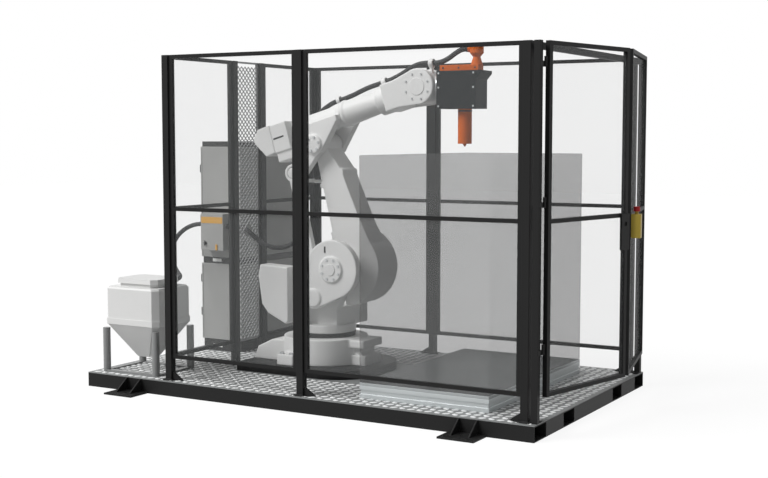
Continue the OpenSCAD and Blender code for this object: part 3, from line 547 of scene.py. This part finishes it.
# Foot of a lug as shares of its length and width, and the ends of its ridge as shares of its length
LUG_FOOT = [(-0.5, 0), (-0.2, 0.5), (0.2, 0.5), (0.5, 0), (0.2, -0.5), (-0.2, -0.5)]
LUG_RIDGE = [-0.22, 0.22]
BARE_UNDER = ["robot_plate", "bed_frame", "cabinet_trim"]


def covered(x, y, boxes):
    """Whether a point of the deck lies under one of the boxes."""
    return any(low.x < x < high.x and low.y < y < high.y for low, high in boxes)


def add_lug(bm, x, y, z, turned):
    """One long lug with a ridge, lying across the diagonal."""
    along = Vector((1, 1 if turned else -1, 0)).normalized()
    across = Vector((-along.y, along.x, 0))
    middle = Vector((x, y, z))
    foot = [bm.verts.new(middle + along * a * LUG_LENGTH + across * b * LUG_WIDTH) for a, b in LUG_FOOT]
    ridge = [bm.verts.new(middle + along * a * LUG_LENGTH + UP * LUG_HEIGHT) for a in LUG_RIDGE]
    bm.faces.new((foot[0], ridge[0], foot[1]))
    bm.faces.new((foot[0], foot[5], ridge[0]))
    bm.faces.new((foot[1], ridge[0], ridge[1], foot[2]))
    bm.faces.new((foot[5], foot[4], ridge[1], ridge[0]))
    bm.faces.new((foot[2], ridge[1], foot[3]))
    bm.faces.new((foot[3], ridge[1], foot[4]))


def make_tread():
    """Lugs in rows over the deck, each turned against the next, where nothing stands on it; near white as a
    painted highlight.
    """
    low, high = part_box("deck_plate")
    boxes = [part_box(name) for name in BARE_UNDER]
    columns = int((high.x - low.x - 2 * LUG_MARGIN) / LUG_PITCH)
    rows = int((high.y - low.y - 2 * LUG_MARGIN) / LUG_PITCH)
    start_x = (low.x + high.x - columns * LUG_PITCH) / 2
    start_y = (low.y + high.y - rows * LUG_PITCH) / 2
    bm = bmesh.new()
    for i in range(columns + 1):
        for k in range(rows + 1):
            x, y = start_x + i * LUG_PITCH, start_y + k * LUG_PITCH
            if not covered(x, y, boxes):
                add_lug(bm, x, y, high.z, (i + k) % 2 == 0)
    # Painted highlight: the lugs are near white, far lighter than the grey plate they belong to, as if the
    # light caught them.
    painted_highlight = surface("tread_lugs_painted_highlight", "#F4F5F5", 0.35, tone=0.05, tone_size=0.03)
    make_piece("tread_lugs_painted_highlight", bm, "root", "tread_plate", painted_highlight, sharp=CRISP_ANGLE)


# Print space

VOLUME_TOP = 1.640
VOLUME_LIFT = 0.002
VOLUME_ROUND = 0.003
VOLUME_COLOUR = "#686868"
VOLUME_ALPHA = 0.362
VOLUME_ROUGH = 0.5


def make_print_volume():
    """The marked print space over the bed: a grey see-through box."""
    low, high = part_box("bed_plate")
    bm = bmesh.new()
    add_block(bm, (low.x, low.y, high.z + VOLUME_LIFT), (high.x, high.y, VOLUME_TOP), VOLUME_ROUND)
    grey = clear_sheet("print_volume", VOLUME_COLOUR, VOLUME_ALPHA, VOLUME_ROUGH, specular=0.0)
    make_piece("print_volume", bm, "root", "clear_panel", grey)


# Robot castings

CAST_VOXEL = 0.006
CAST_SMOOTH = 0.5
CAST_PASSES = 3
CAST_KEEP = 0.35
# Nodes of each body whose casting follows the CAD solid
CASTINGS = {
    "turret": ["turret_drives"],
    "crank": ["crank", "counterweight"],
    "forearm": ["forearm_tube"],
    "wrist": ["wrist"],
}
AXIS_1 = Vector((-0.330, 0.0, 0.160))
AXIS_2 = Vector((-0.130, 0.0, 0.840))
AXIS_3 = Vector((-0.3453, 0.0, 1.7036))
AXIS_5 = Vector((0.4593, 0.0, 2.0903))
FOREARM_START = Vector((-0.3867, 0.0, 1.8478))
ARM_LEAN = math.radians(-14)
FOREARM_LEAN = math.radians(-16)
BASE_FRAME = Matrix.Translation(AXIS_1)
CHEEK_FRAME = Matrix.Translation(AXIS_2)
ARM_FRAME = Matrix.Translation(AXIS_2) @ Matrix.Rotation(ARM_LEAN, 4, "Y")
ROD_LUG_FRAME = Matrix.Translation(AXIS_3)
FOREARM_FRAME = Matrix.Translation(FOREARM_START) @ Matrix.Rotation(FOREARM_LEAN, 4, "Y")
ROUND_SIDES = 72
LEAST_STEPS = 8


def round_outline(x, z, radius, start=-180, end=180):
    """Points of an arc in millimetres, between two angles in degrees."""
    steps = max(LEAST_STEPS, int(ROUND_SIDES * (end - start) / 360))
    whole = end - start == 360
    angles = [math.radians(start + (end - start) * k / steps) for k in range(steps if whole else steps + 1)]
    return [(x + radius * math.cos(a), z + radius * math.sin(a)) for a in angles]


def box_outline(x0, x1, z0, z1):
    """Corners of a rectangle in millimetres."""
    return [(x0, z0), (x1, z0), (x1, z1), (x0, z1)]


def add_prism(bm, rims):
    """A closed solid between two rims of equally many points."""
    low, high = ([bm.verts.new(point) for point in rim] for rim in rims)
    count = len(low)
    bm.faces.new(low)
    bm.faces.new(list(reversed(high)))
    for k in range(count):
        n = (k + 1) % count
        bm.faces.new((low[n], low[k], high[k], high[n]))
    bmesh.ops.recalc_face_normals(bm, faces=bm.faces[:])


def add_slabs(bm, place, slabs):
    """Slabs across Y, each an outline of (x, z) points and two sides, in millimetres of a frame."""
    for outline, sides in slabs:
        add_prism(bm, [[place @ (Vector((x, y, z)) * MM) for x, z in outline] for y in sides])


def add_bars(bm, place, bars):
    """Bars along X, each an outline of (y, z) points and two ends, in millimetres of a frame."""
    for outline, ends in bars:
        add_prism(bm, [[place @ (Vector((x, y, z)) * MM) for y, z in outline] for x in ends])


# Castings that are shaped anew: slabs and bars in millimetres of their frames

BASE_RADIUS = 0.300
BASE_HEIGHT = 0.185
BASE_SLABS = [
    ([(-180, 0), (-180, 150), (-330, 150), (-455, 90), (-490, 0)], (-200, 200)),  # housing behind
    (box_outline(-189, -55, 0, 75), (-350, 350)),  # feet
    (box_outline(200, 390, 0, 70), (-110, 110)),  # lower jaw of the lug
    (box_outline(200, 350, 10, 140), (-90, 90)),  # web of the lug
    (box_outline(200, 390, 123, 180), (-130, 130)),  # upper jaw of the lug
]
TURRET_FOOT_RADIUS = 0.215
TURRET_FOOT_HEIGHTS = (0.216, 0.276)
TURRET_TABLE = [(box_outline(-190, 175, 256, 396), (-132, 290))]
TURRET_CHEEKS = [
    (outline, sides)
    for sides in ((-132, -64), (219, 290))
    for outline in (round_outline(0, 0, 125), [(-124, 0), (124, 0), (-25, -294), (-255, -294)])
]
ARM_SHANK = [
    (-45, 60), (245, 105), (196, 309), (152, 559), (140, 640), (145, 650), (145, 672), (125, 690),
    (55, 850), (-45, 850),
]
ARM_SLABS = [
    (ARM_SHANK, (-60, 140)),
    (round_outline(0, 890, 72), (-60, 140)),  # end at axis 3
    (round_outline(0, 0, 150), (-60, 215)),  # foot
    (round_outline(0, 0, 270, -102.8, 102.8), (-60, 215)),  # wide front of the foot
    (round_outline(0, 0, 80), (-132, 290)),  # shaft of axis 2
    (box_outline(-66, -30, 585, 615), (-60, -24)),  # small block behind the shank
    ([(-196, 649), (-40, 610), (-40, 636), (-196, 675)], (68, 92)),  # arm of the guide eye
]
ELBOW_BARS = [
    (round_outline(0, 0, 78), (-215, -98)),  # head behind the lower arm's end
    (round_outline(0, 0, 78), (98, 240)),  # head in front of it
    (round_outline(0, 0, 78, -50, 230), (-100, 100)),  # head over it
    (round_outline(0, 0, 90), (205, 240)),  # collar at the forearm
]
ELBOW_CHEEK = [(-79, -150), (0, -150), (56, -205), (230, -40), (230, 0), (-79, 0)]
ELBOW_SLABS = [
    (box_outline(-150, 110, -60, 50), (0, 205)),  # bridge to the far cheek
    (box_outline(-330, -190, -125, 76), (-132, 120)),  # block behind
    (box_outline(-326, -150, -195, -115), (-122, 50)),  # lower step of the block
    (round_outline(0, -150, 80), (-132, -64)),  # near cheek
    (ELBOW_CHEEK, (-132, -64)),
    (round_outline(0, -150, 80), (144, 205)),  # far cheek
    (ELBOW_CHEEK, (144, 205)),
    (round_outline(0, -150, 66), (-146, -130)),  # cap of axis 3
    (box_outline(140, 156, 60, 106), (98, 122)),  # arm of the guide eye
]
ROD_LUG = [
    (round_outline(-146, -204, 62), (-128, -68)),
    ([(-56, 40), (56, -40), (-96, -240), (-196, -168)], (-128, -68)),
    (round_outline(-146, -204, 40), (-184, -120)),  # pin of the rod
]
COVER = [(-330.3, 84), (-432, 80), (-490, 22), (-484, -16), (-412, -128), (-330.3, -120)]
COVER_SLABS = [(COVER, (-132, -10)), (COVER, (-4, 118))]


def base_form(bm):
    """Drum with feet at its sides, a sloping housing behind and a forked lug in front."""
    add_drum(bm, AXIS_1, AXIS_1 + UP * BASE_HEIGHT, BASE_RADIUS, sides=ROUND_SIDES)
    add_slabs(bm, BASE_FRAME, BASE_SLABS)


def turret_form(bm):
    """A table on a round foot, with a cheek at both sides of axis 2."""
    low, high = (AXIS_1 + UP * height for height in TURRET_FOOT_HEIGHTS)
    add_drum(bm, low, high, TURRET_FOOT_RADIUS, sides=ROUND_SIDES)
    add_slabs(bm, BASE_FRAME, TURRET_TABLE)
    add_slabs(bm, CHEEK_FRAME, TURRET_CHEEKS)


def arm_form(bm):
    """A slim shank with a ledge in front, on a wide round foot."""
    add_slabs(bm, ARM_FRAME, ARM_SLABS)


def elbow_form(bm):
    """A round head over the lower arm's end, two cheeks beside it, a block behind and a lug for the rod."""
    add_bars(bm, FOREARM_FRAME, ELBOW_BARS)
    add_slabs(bm, FOREARM_FRAME, ELBOW_SLABS)
    add_slabs(bm, ROD_LUG_FRAME, ROD_LUG)


def cover_form(bm):
    """Two chamfered covers behind the elbow."""
    add_slabs(bm, FOREARM_FRAME, COVER_SLABS)


FORMS = [
    ("robot_base", "root", base_form),
    ("turret", "turret", turret_form),
    ("lower_arm", "lower_arm", arm_form),
    ("elbow_housing", "elbow", elbow_form),
    ("elbow_drives", "elbow", cover_form),
]


def final_mesh(obj):
    """The piece's mesh with its modifiers worked in."""
    graph = bpy.context.evaluated_depsgraph_get()
    graph.update()
    mesh = bpy.data.meshes.new_from_object(obj.evaluated_get(graph))
    obj.modifiers.clear()
    obj.data = mesh


def make_casting(node, body, mesh):
    """A skin over a mesh, with its edges rounded off as a casting's are, in place of a node."""
    cast = bpy.data.objects.new(node + "_casting", mesh)
    bpy.context.scene.collection.objects.link(cast)
    remesh = cast.modifiers.new("remesh", "REMESH")
    remesh.mode = "VOXEL"
    remesh.voxel_size = CAST_VOXEL
    smooth = cast.modifiers.new("smooth", "SMOOTH")
    smooth.factor = CAST_SMOOTH
    smooth.iterations = CAST_PASSES
    thin = cast.modifiers.new("thin", "DECIMATE")
    thin.ratio = CAST_KEEP
    final_mesh(cast)
    cast.data.polygons.foreach_set("use_smooth", [True] * len(cast.data.polygons))
    cast.data.materials.clear()
    cast.data.materials.append(MATERIALS["robot_paint"])
    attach(cast, body)
    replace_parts(cast, node)


def make_castings():
    """The robot's castings, over the CAD solids or over forms of their own."""
    for body, names in CASTINGS.items():
        for node in names:
            make_casting(node, body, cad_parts[node].data.copy())
    for node, body, form in FORMS:
        bm = bmesh.new()
        form(bm)
        mesh = bpy.data.meshes.new(node + "_form")
        bm.to_mesh(mesh)
        bm.free()
        make_casting(node, body, mesh)


# Guide eyes of the feed hose

EYE_SIDES = 32
EYE_BORE = 0.0202
EYE_RADIUS = 0.0280
EYE_HEIGHT = 0.026
# Piece, body, middle in millimetres and direction of the hole
GUIDE_EYES = [
    ("lower_arm_eye", "lower_arm", ELBOW_ROUTE[0], UP),
    ("elbow_eye", "elbow", FOREARM_ROUTE[0], FOREARM_FRAME.to_3x3() @ Vector((1, 0, 0))),
]


def add_eye(bm, middle, axis):
    """An open ring with a flat rim."""
    place = facing(middle, axis)
    half = EYE_HEIGHT / 2
    rims = [
        [bm.verts.new(place @ Vector((r * math.cos(a), r * math.sin(a), z)))
         for a in round_angles(EYE_SIDES)]
        for r, z in ((EYE_BORE, -half), (EYE_RADIUS, -half), (EYE_RADIUS, half), (EYE_BORE, half))
    ]
    for low, high in zip(rims, rims[1:] + rims[:1]):
        add_band(bm, low, high)


def make_guide_eyes():
    """Rings on the lower arm and the elbow."""
    for name, body, middle, axis in GUIDE_EYES:
        bm = bmesh.new()
        add_eye(bm, Vector(middle) * MM, axis)
        make_piece(name, bm, body, "robot_paint")


# Edges of the plain CAD pieces

# Width of the round, and the pieces that have it
SOFT_EDGES = {
    0.0050: ["link_rod"],
    0.0035: [
        "lower_cabinet", "upper_cabinet", "control_box", "cable_hoods", "robot_plate", "interlock_switch",
    ],
    0.0025: ["fence_posts", "door_posts", "extruder_housing", "feed_gearbox", "near_leaf_lock"],
    0.0015: ["bed_frame", "bed_plate", "cabinet_trim", "anchor_brackets", "door_header"],
}
EDGE_ANGLE = math.radians(30)
SAME_PLACE = 0.00001
FLAT_ANGLE = math.radians(1)


def soften_edges():
    """Small rounds on the sharp edges of the CAD pieces, as modifiers."""
    for width, names in SOFT_EDGES.items():
        for name in names:
            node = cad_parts[name]
            weld = node.modifiers.new("weld", "WELD")
            weld.merge_threshold = SAME_PLACE
            flat = node.modifiers.new("flat", "DECIMATE")
            flat.decimate_type = "DISSOLVE"
            flat.angle_limit = FLAT_ANGLE
            bevel = node.modifiers.new("edges", "BEVEL")
            bevel.width = width
            bevel.segments = EDGE_SEGMENTS
            bevel.limit_method = "ANGLE"
            bevel.angle_limit = EDGE_ANGLE


# Mesh panel

MESH_BORDER = 0.014
MESH_COLUMNS = 6
MESH_RISE = 0.040
MESH_STRAND = 0.0075
MESH_DEEP = 0.0036
PORT_RADIUS = 0.034
PORT_PLACE = (0.000, 1.062)


def add_strand(bm, start, end, x):
    """A flat strand of the mesh from one (y, z) point to another."""
    along = Vector((0, end[0] - start[0], end[1] - start[1]))
    place = Matrix.Translation((x, (start[0] + end[0]) / 2, (start[1] + end[1]) / 2))
    turn = along.to_track_quat("Y", "X").to_matrix().to_4x4()
    size = Matrix.Diagonal((MESH_DEEP, along.length + MESH_STRAND / 2, MESH_STRAND, 1))
    bmesh.ops.create_cube(bm, size=1.0, matrix=place @ turn @ size)


def near_port(point):
    """Whether a (y, z) point is in the opening for the hose."""
    return math.hypot(point[0] - PORT_PLACE[0], point[1] - PORT_PLACE[1]) < PORT_RADIUS


def make_mesh():
    """Expanded metal in a flat border, open where the hose passes."""
    low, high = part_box("mesh_panel")
    x = (low.x + high.x) / 2
    bm = bmesh.new()
    for side in (low.y, high.y - MESH_BORDER):
        add_block(bm, (low.x, side, low.z), (high.x, side + MESH_BORDER, high.z))
    for level in (low.z, high.z - MESH_BORDER):
        add_block(bm, (low.x, low.y, level), (high.x, high.y, level + MESH_BORDER))
    half = (high.y - low.y - 2 * MESH_BORDER) / (2 * MESH_COLUMNS)
    rows = int((high.z - low.z - 2 * MESH_BORDER) / MESH_RISE)
    for row in range(rows):
        for i in range(2 * MESH_COLUMNS):
            for lean in (0, 1):
                up = (i + lean) % 2
                z = low.z + MESH_BORDER + row * MESH_RISE
                start = (low.y + MESH_BORDER + i * half, z + (1 - up) * MESH_RISE / 2 + lean * MESH_RISE / 2)
                end = (start[0] + half, z + up * MESH_RISE / 2 + lean * MESH_RISE / 2)
                if not near_port(start) and not near_port(end):
                    add_strand(bm, start, end, x)
    mesh = make_piece("mesh_strands", bm, "root", "stand_steel", sharp=CRISP_ANGLE)
    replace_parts(mesh, "mesh_panel")


# Bolts and marks on the robot

BOLT_RADIUS = 0.008
BOLT_HEIGHT = 0.006
BOLT_SIDES = 6
BOLT_ROOT = 0.002
WASHER_SIDES = 16
WASHER_WIDER = 1.35
WASHER_SHARE = 0.3
# Bolt rings: piece, body, middle, radius of the ring, count and radius of the bolts
BOLT_RINGS = [
    ("crank_bolts", "crank", AXIS_2 + NEAR * 0.264, 0.070, 8, BOLT_RADIUS),
    ("elbow_bolts", "elbow", AXIS_3 + NEAR * 0.146, 0.048, 6, BOLT_RADIUS),
    ("wrist_bolts", "forearm", AXIS_5 + NEAR * 0.105, 0.088, 8, 0.006),
]
BASE_BOLTS = [(x, y, 0.235) for x in (-0.490, -0.414) for y in (-0.325, 0.325)]
BASE_BOLT_RADIUS = 0.015
BASE_BOLT_HEIGHT = 0.014
# Painted shade: a dark block on the crank's face that stands for the shade in its opening.
CRANK_SLOT_SHADE = (Vector((-0.062, -0.2515, 0.108)), Vector((-0.038, -0.240, 0.165)))
CRANK_SLOT_SHADE_ROUND = 0.008
# Painted shade: a dark strip on the elbow's side that stands for the shade in its groove.
ELBOW_GROOVE_SHADE = [(box_outline(-318, -228, -30, -18), (-133, -125))]
# Caps on the pivots: piece, body, axis, how far out the cap starts and ends, and its radius at both
CAPS = [
    ("crank_cap", "crank", AXIS_2, 0.262, 0.269, 0.042, 0.038),
    ("wrist_cap", "forearm", AXIS_5, 0.103, 0.109, 0.060, 0.056),
]
CAP_SIDES = 40
FLANGE_BOLT_COUNT = 12
FLANGE_BOLT_SIDES = 12
FLANGE_BOLT_RING = 0.056
FLANGE_BOLT_RADIUS = 0.010
FLANGE_BOLT_START = Vector((0.108, 0, 0))
FLANGE_BOLT_LENGTH = Vector((0.020, 0, 0))


def add_bolt(bm, place, outward, radius, height=BOLT_HEIGHT):
    """A hexagon head on a washer, rooted a little in the surface."""
    root = place - outward * BOLT_ROOT
    add_drum(bm, root, place + outward * height * WASHER_SHARE, radius * WASHER_WIDER, sides=WASHER_SIDES)
    add_drum(bm, root, place + outward * height, radius, sides=BOLT_SIDES)


def add_bolt_ring(bm, middle, outward, ring, count, radius):
    """Bolts evenly round a circle."""
    side = outward.orthogonal().normalized()
    up = outward.cross(side)
    for k in range(count):
        a = 2 * math.pi * (k + 0.5) / count
        add_bolt(bm, middle + ring * (math.cos(a) * side + math.sin(a) * up), outward, radius)


def make_robot_bolts():
    """Bolt rings on the pivots, and bolts that hold the base to its plate."""
    for name, body, middle, ring, count, radius in BOLT_RINGS:
        bm = bmesh.new()
        add_bolt_ring(bm, middle, NEAR, ring, count, radius)
        make_piece(name, bm, body, "flange_steel")
    bm = bmesh.new()
    for place in BASE_BOLTS:
        add_bolt(bm, Vector(place), UP, BASE_BOLT_RADIUS, BASE_BOLT_HEIGHT)
    make_piece("base_bolts", bm, "root", "flange_steel")


def make_robot_marks():
    """Painted shade as dark blocks where the castings have an opening and a groove, and caps in the
    castings.
    """
    bm = bmesh.new()
    # Painted shade over the crank's opening.
    add_block(bm, AXIS_2 + CRANK_SLOT_SHADE[0], AXIS_2 + CRANK_SLOT_SHADE[1], CRANK_SLOT_SHADE_ROUND)
    make_piece("crank_slot_shade", bm, "crank", "ring_dark")
    bm = bmesh.new()
    # Painted shade along the elbow's groove.
    add_slabs(bm, FOREARM_FRAME, ELBOW_GROOVE_SHADE)
    make_piece("elbow_groove_shade", bm, "elbow", "ring_dark")
    for name, body, axis, start, end, radius, end_radius in CAPS:
        bm = bmesh.new()
        add_drum(bm, axis + NEAR * start, axis + NEAR * end, radius, end_radius, CAP_SIDES)
        make_piece(name, bm, body, "robot_paint")
    bm = bmesh.new()
    for a in round_angles(FLANGE_BOLT_COUNT):
        spoke = Vector((0, math.cos(a), math.sin(a)))
        root = AXIS_5 + FLANGE_BOLT_START + spoke * FLANGE_BOLT_RING
        add_drum(bm, root, root + FLANGE_BOLT_LENGTH, FLANGE_BOLT_RADIUS, sides=FLANGE_BOLT_SIDES)
    make_piece("flange_bolts", bm, "wrist", "ring_dark")


# Hopper

BIN_MIDDLE = Vector((-1.395, -0.680, 0.0))
BIN_FOOT = 0.200
BIN_BEND = 0.440
BIN_RIM = 0.690
BIN_CUT = 0.038
FOOT_CUT = 0.010
# Steps of the bin and of the lid: width, depth and height of the lower and of the upper outline
BIN_STEPS = [
    ((0.470, 0.400, BIN_BEND), (0.470, 0.400, BIN_RIM)),
    ((0.480, 0.410, BIN_BEND), (0.480, 0.410, BIN_BEND + 0.040)),  # skirt
    ((0.120, 0.120, BIN_FOOT, FOOT_CUT), (0.474, 0.404, BIN_BEND)),  # sloping bottom
]
LID_STEPS = [
    ((0.462, 0.392, BIN_RIM), (0.450, 0.380, BIN_RIM + 0.012)),
    ((0.340, 0.270, BIN_RIM + 0.012), (0.340, 0.270, BIN_RIM + 0.038)),
    ((0.370, 0.300, BIN_RIM + 0.038), (0.362, 0.292, BIN_RIM + 0.070)),
]
STUB_RADIUS = 0.0205
STUB_INSIDE = Vector((0, 0.060, 0))
STUB_OVER_HOSE = Vector((0, 0.004, 0))
LEG_RADIUS = 0.026
LEG_TALL = 0.310
LEG_X = 0.222
LEG_Y = 0.190
BAR_HALF = 0.02
BAR_THICK = 0.012


def bin_rim(width, depth, z, cut=BIN_CUT):
    """An outline with cut corners, at a height."""
    w, d = width / 2, depth / 2
    corners = [
        (-w + cut, -d), (w - cut, -d), (w, -d + cut), (w, d - cut),
        (w - cut, d), (-w + cut, d), (-w, d - cut), (-w, -d + cut),
    ]
    return [BIN_MIDDLE + Vector((x, y, z)) for x, y in corners]


def add_steps(bm, steps):
    """Solids with cut corners, from a lower outline to an upper one."""
    for low, high in steps:
        add_prism(bm, [bin_rim(*low), bin_rim(*high)])


def make_bin():
    """White bin with cut corners, a skirt at its bend and a sloping bottom."""
    bm = bmesh.new()
    add_steps(bm, BIN_STEPS)
    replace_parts(make_piece("hopper_bin_shell", bm, "root", "hopper_plastic"), "hopper_bin")


def make_lid():
    """Stepped lid with a stub for the hose."""
    bm = bmesh.new()
    add_steps(bm, LID_STEPS)
    hose_end = Vector(HOPPER_ROUTE[-1]) * MM
    add_drum(bm, hose_end - STUB_INSIDE, hose_end + STUB_OVER_HOSE, STUB_RADIUS)
    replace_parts(make_piece("hopper_lid_steps", bm, "root", "hopper_plastic"), "hopper_lid")


def make_stand():
    """Stand with round legs on a frame of flat bars."""
    bm = bmesh.new()
    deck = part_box("deck_plate")[1].z
    for sx in (-1, 1):
        for sy in (-1, 1):
            foot = BIN_MIDDLE + Vector((sx * LEG_X, sy * LEG_Y, deck))
            add_drum(bm, foot, foot + UP * LEG_TALL, LEG_RADIUS)
        side = BIN_MIDDLE + Vector((sx * LEG_X, 0, deck))
        add_block(bm, side - Vector((BAR_HALF, LEG_Y, 0)), side + Vector((BAR_HALF, LEG_Y, BAR_THICK)))
    for sy in (-1, 1):
        side = BIN_MIDDLE + Vector((0, sy * LEG_Y, deck))
        add_block(bm, side - Vector((LEG_X, BAR_HALF, 0)), side + Vector((LEG_X, BAR_HALF, BAR_THICK)))
    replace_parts(make_piece("hopper_legs", bm, "root", "stand_steel"), "hopper_stand")


def make_hopper():
    """Bin, lid and stand."""
    make_bin()
    make_lid()
    make_stand()


# Fence: posts and wedges in millimetres, their places in metres

POST_HALF = 25
WEDGE_LONG = 75
WEDGE_TALL = 55
WEDGE_TIP = 6
WEDGE_HALF = 12
WALL_Y = 0.909
# X of two posts, and the way that the wedge points at the near one and at the far one
POST_ROWS = [(-1.011, 1, 1), (0.060, 1, -1), (1.617, -1, -1)]
KEY_RADIUS = 0.0225
KEY_TAPER = 0.9
KEY_HEIGHT = 0.030
KEY_PROUD = 0.002
KEY_SIDES = 40


def make_post_wedges():
    """Wedges at the feet of the posts, along the wall."""
    bm = bmesh.new()
    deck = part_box("deck_plate")[1].z
    for x, *ways in POST_ROWS:
        for side, way in zip((-1, 1), ways):
            place = Matrix.Translation((x, side * WALL_Y, deck))
            face, tip = way * POST_HALF, way * (POST_HALF + WEDGE_LONG)
            outline = [(face, 0), (tip, 0), (tip, WEDGE_TIP), (face, WEDGE_TALL)]
            add_slabs(bm, place, [(outline, (-WEDGE_HALF, WEDGE_HALF))])
    make_piece("post_wedges", bm, "root", "black_paint")


def make_interlock_key():
    """Red knob over the key of the interlock switch."""
    low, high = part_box("interlock_switch")
    top = Vector(((low.x + high.x) / 2, (low.y + high.y) / 2, high.z + KEY_PROUD))
    bm = bmesh.new()
    add_drum(bm, top - UP * KEY_HEIGHT, top, KEY_RADIUS, KEY_TAPER * KEY_RADIUS, KEY_SIDES)
    red = surface("interlock_key", "#B5191F", 0.4, specular=0.3)
    make_piece("interlock_key", bm, "far_leaf", "interlock_yellow", red)


# Cabinets

CABINET_FACE = 0.194
STRIP_FACE = CABINET_FACE + 0.010
BOX_FACE = 0.094
PLATE_DEEP = 0.0015
PLATE_X = (-1.496, -1.412)
PLATE_HEIGHTS = [(0.794, 0.818), (0.128, 0.152)]
BOX_LABEL = ((-1.519, BOX_FACE - PLATE_DEEP, 1.098), (-1.319, BOX_FACE, 1.146))
BOX_TAG = ((-1.385, 0.088, 0.893), (-1.365, BOX_FACE, 0.938))
LATCH_ROSE = ((-1.480, 0.086, 0.945), (-1.480, 0.096, 0.945))
LATCH_ROSE_RADIUS = 0.012
LATCH_GRIP = ((-1.484, 0.080, 0.925), (-1.476, 0.087, 0.965))
FITTING_ROUND = 0.002
CABINET_LEFT = -1.597
SEAM_X = (CABINET_LEFT + 0.012, CABINET_LEFT + 0.015)
SEAM_DEEP = 0.0008
SEAM_HEIGHTS = [(0.205, 0.765), (0.845, 1.665)]


def make_cabinet_fittings():
    """Bare plates, a latch, a tag and the door seam on the cabinets' near face. All are plain."""
    white = surface("bare_plate", "#F0F0EE", 0.45, tone=0.02)
    yellow = surface("bare_label", "#D9A23C", 0.5, tone=0.05)
    bm = bmesh.new()
    for z0, z1 in PLATE_HEIGHTS:
        add_block(bm, (PLATE_X[0], STRIP_FACE - PLATE_DEEP, z0), (PLATE_X[1], STRIP_FACE, z1))
    make_piece("cabinet_plates", bm, "root", "cabinet_paint", white)
    bm = bmesh.new()
    add_block(bm, *BOX_LABEL)
    add_block(bm, *BOX_TAG, FITTING_ROUND)
    make_piece("control_box_label", bm, "root", "interlock_yellow", yellow)
    bm = bmesh.new()
    add_drum(bm, *LATCH_ROSE, LATCH_ROSE_RADIUS)
    add_block(bm, *LATCH_GRIP, FITTING_ROUND)
    for z0, z1 in SEAM_HEIGHTS:
        add_block(bm, (SEAM_X[0], CABINET_FACE - SEAM_DEEP, z0), (SEAM_X[1], CABINET_FACE, z1))
    make_piece("cabinet_latch", bm, "root", "cabinet_black")


# Hose bands

BAND_THICK = 0.003
BAND_SIDES = 32
# Body and the two ends of each band: two at the control box, then the hopper and the funnel
HOSE_BANDS = [
    ("root", (-1.540, 0.144, 1.085), (-1.526, 0.144, 1.085)),
    ("root", (-1.312, 0.144, 1.075), (-1.298, 0.144, 1.075)),
    ("root", (-1.300, -0.518, 0.735), (-1.300, -0.504, 0.735)),
    ("tool", (0.778, 0.0, 2.334), (0.794, 0.0, 2.334)),
]


def make_hose_bands():
    """Clamp bands round the hose ends."""
    for i, (body, start, end) in enumerate(HOSE_BANDS):
        bm = bmesh.new()
        add_drum(bm, start, end, HOSE_DIAMETER / 2 + BAND_THICK, sides=BAND_SIDES)
        make_piece("hose_band_%d" % (i + 1), bm, body, "cabinet_black")


# Extruder

SCREW_RADIUS = 0.005
SCREW_HEIGHT = 0.004
HOUSING_SCREWS = [(x, -0.090, z) for x in (0.616, 0.872) for z in (1.957, 2.080, 2.174)]
GEARBOX_SCREWS = [(x, -0.040, 2.211) for x in (0.625, 0.740, 0.860)]
COLLAR_ENDS = ((0.7693, 0, 1.921), (0.7693, 0, 1.930))
COLLAR_RADIUS = 0.0480
COLLAR_SIDES = 64


def make_extruder_screws():
    """Screws on the near faces of the housing and of the gearbox bar, and a collar round the barrel."""
    for name, slot, places in (
        ("housing_screws", "flange_steel", HOUSING_SCREWS),
        ("gearbox_screws", "ring_dark", GEARBOX_SCREWS),
    ):
        bm = bmesh.new()
        for place in places:
            add_bolt(bm, Vector(place), NEAR, SCREW_RADIUS, SCREW_HEIGHT)
        make_piece(name, bm, "tool", slot)
    bm = bmesh.new()
    add_drum(bm, *COLLAR_ENDS, COLLAR_RADIUS, sides=COLLAR_SIDES)
    make_piece("barrel_collar", bm, "tool", "ring_dark")


bpy.context.scene.view_settings.view_transform = "Standard"
make_camera()
make_world()
make_key_light()
make_floor()
paint_nodes()
make_hoses()
make_tread()
make_print_volume()
make_castings()
make_guide_eyes()
soften_edges()
make_mesh()
make_hopper()
make_post_wedges()
make_interlock_key()
make_robot_bolts()
make_robot_marks()
make_cabinet_fittings()
make_hose_bands()
make_extruder_screws()
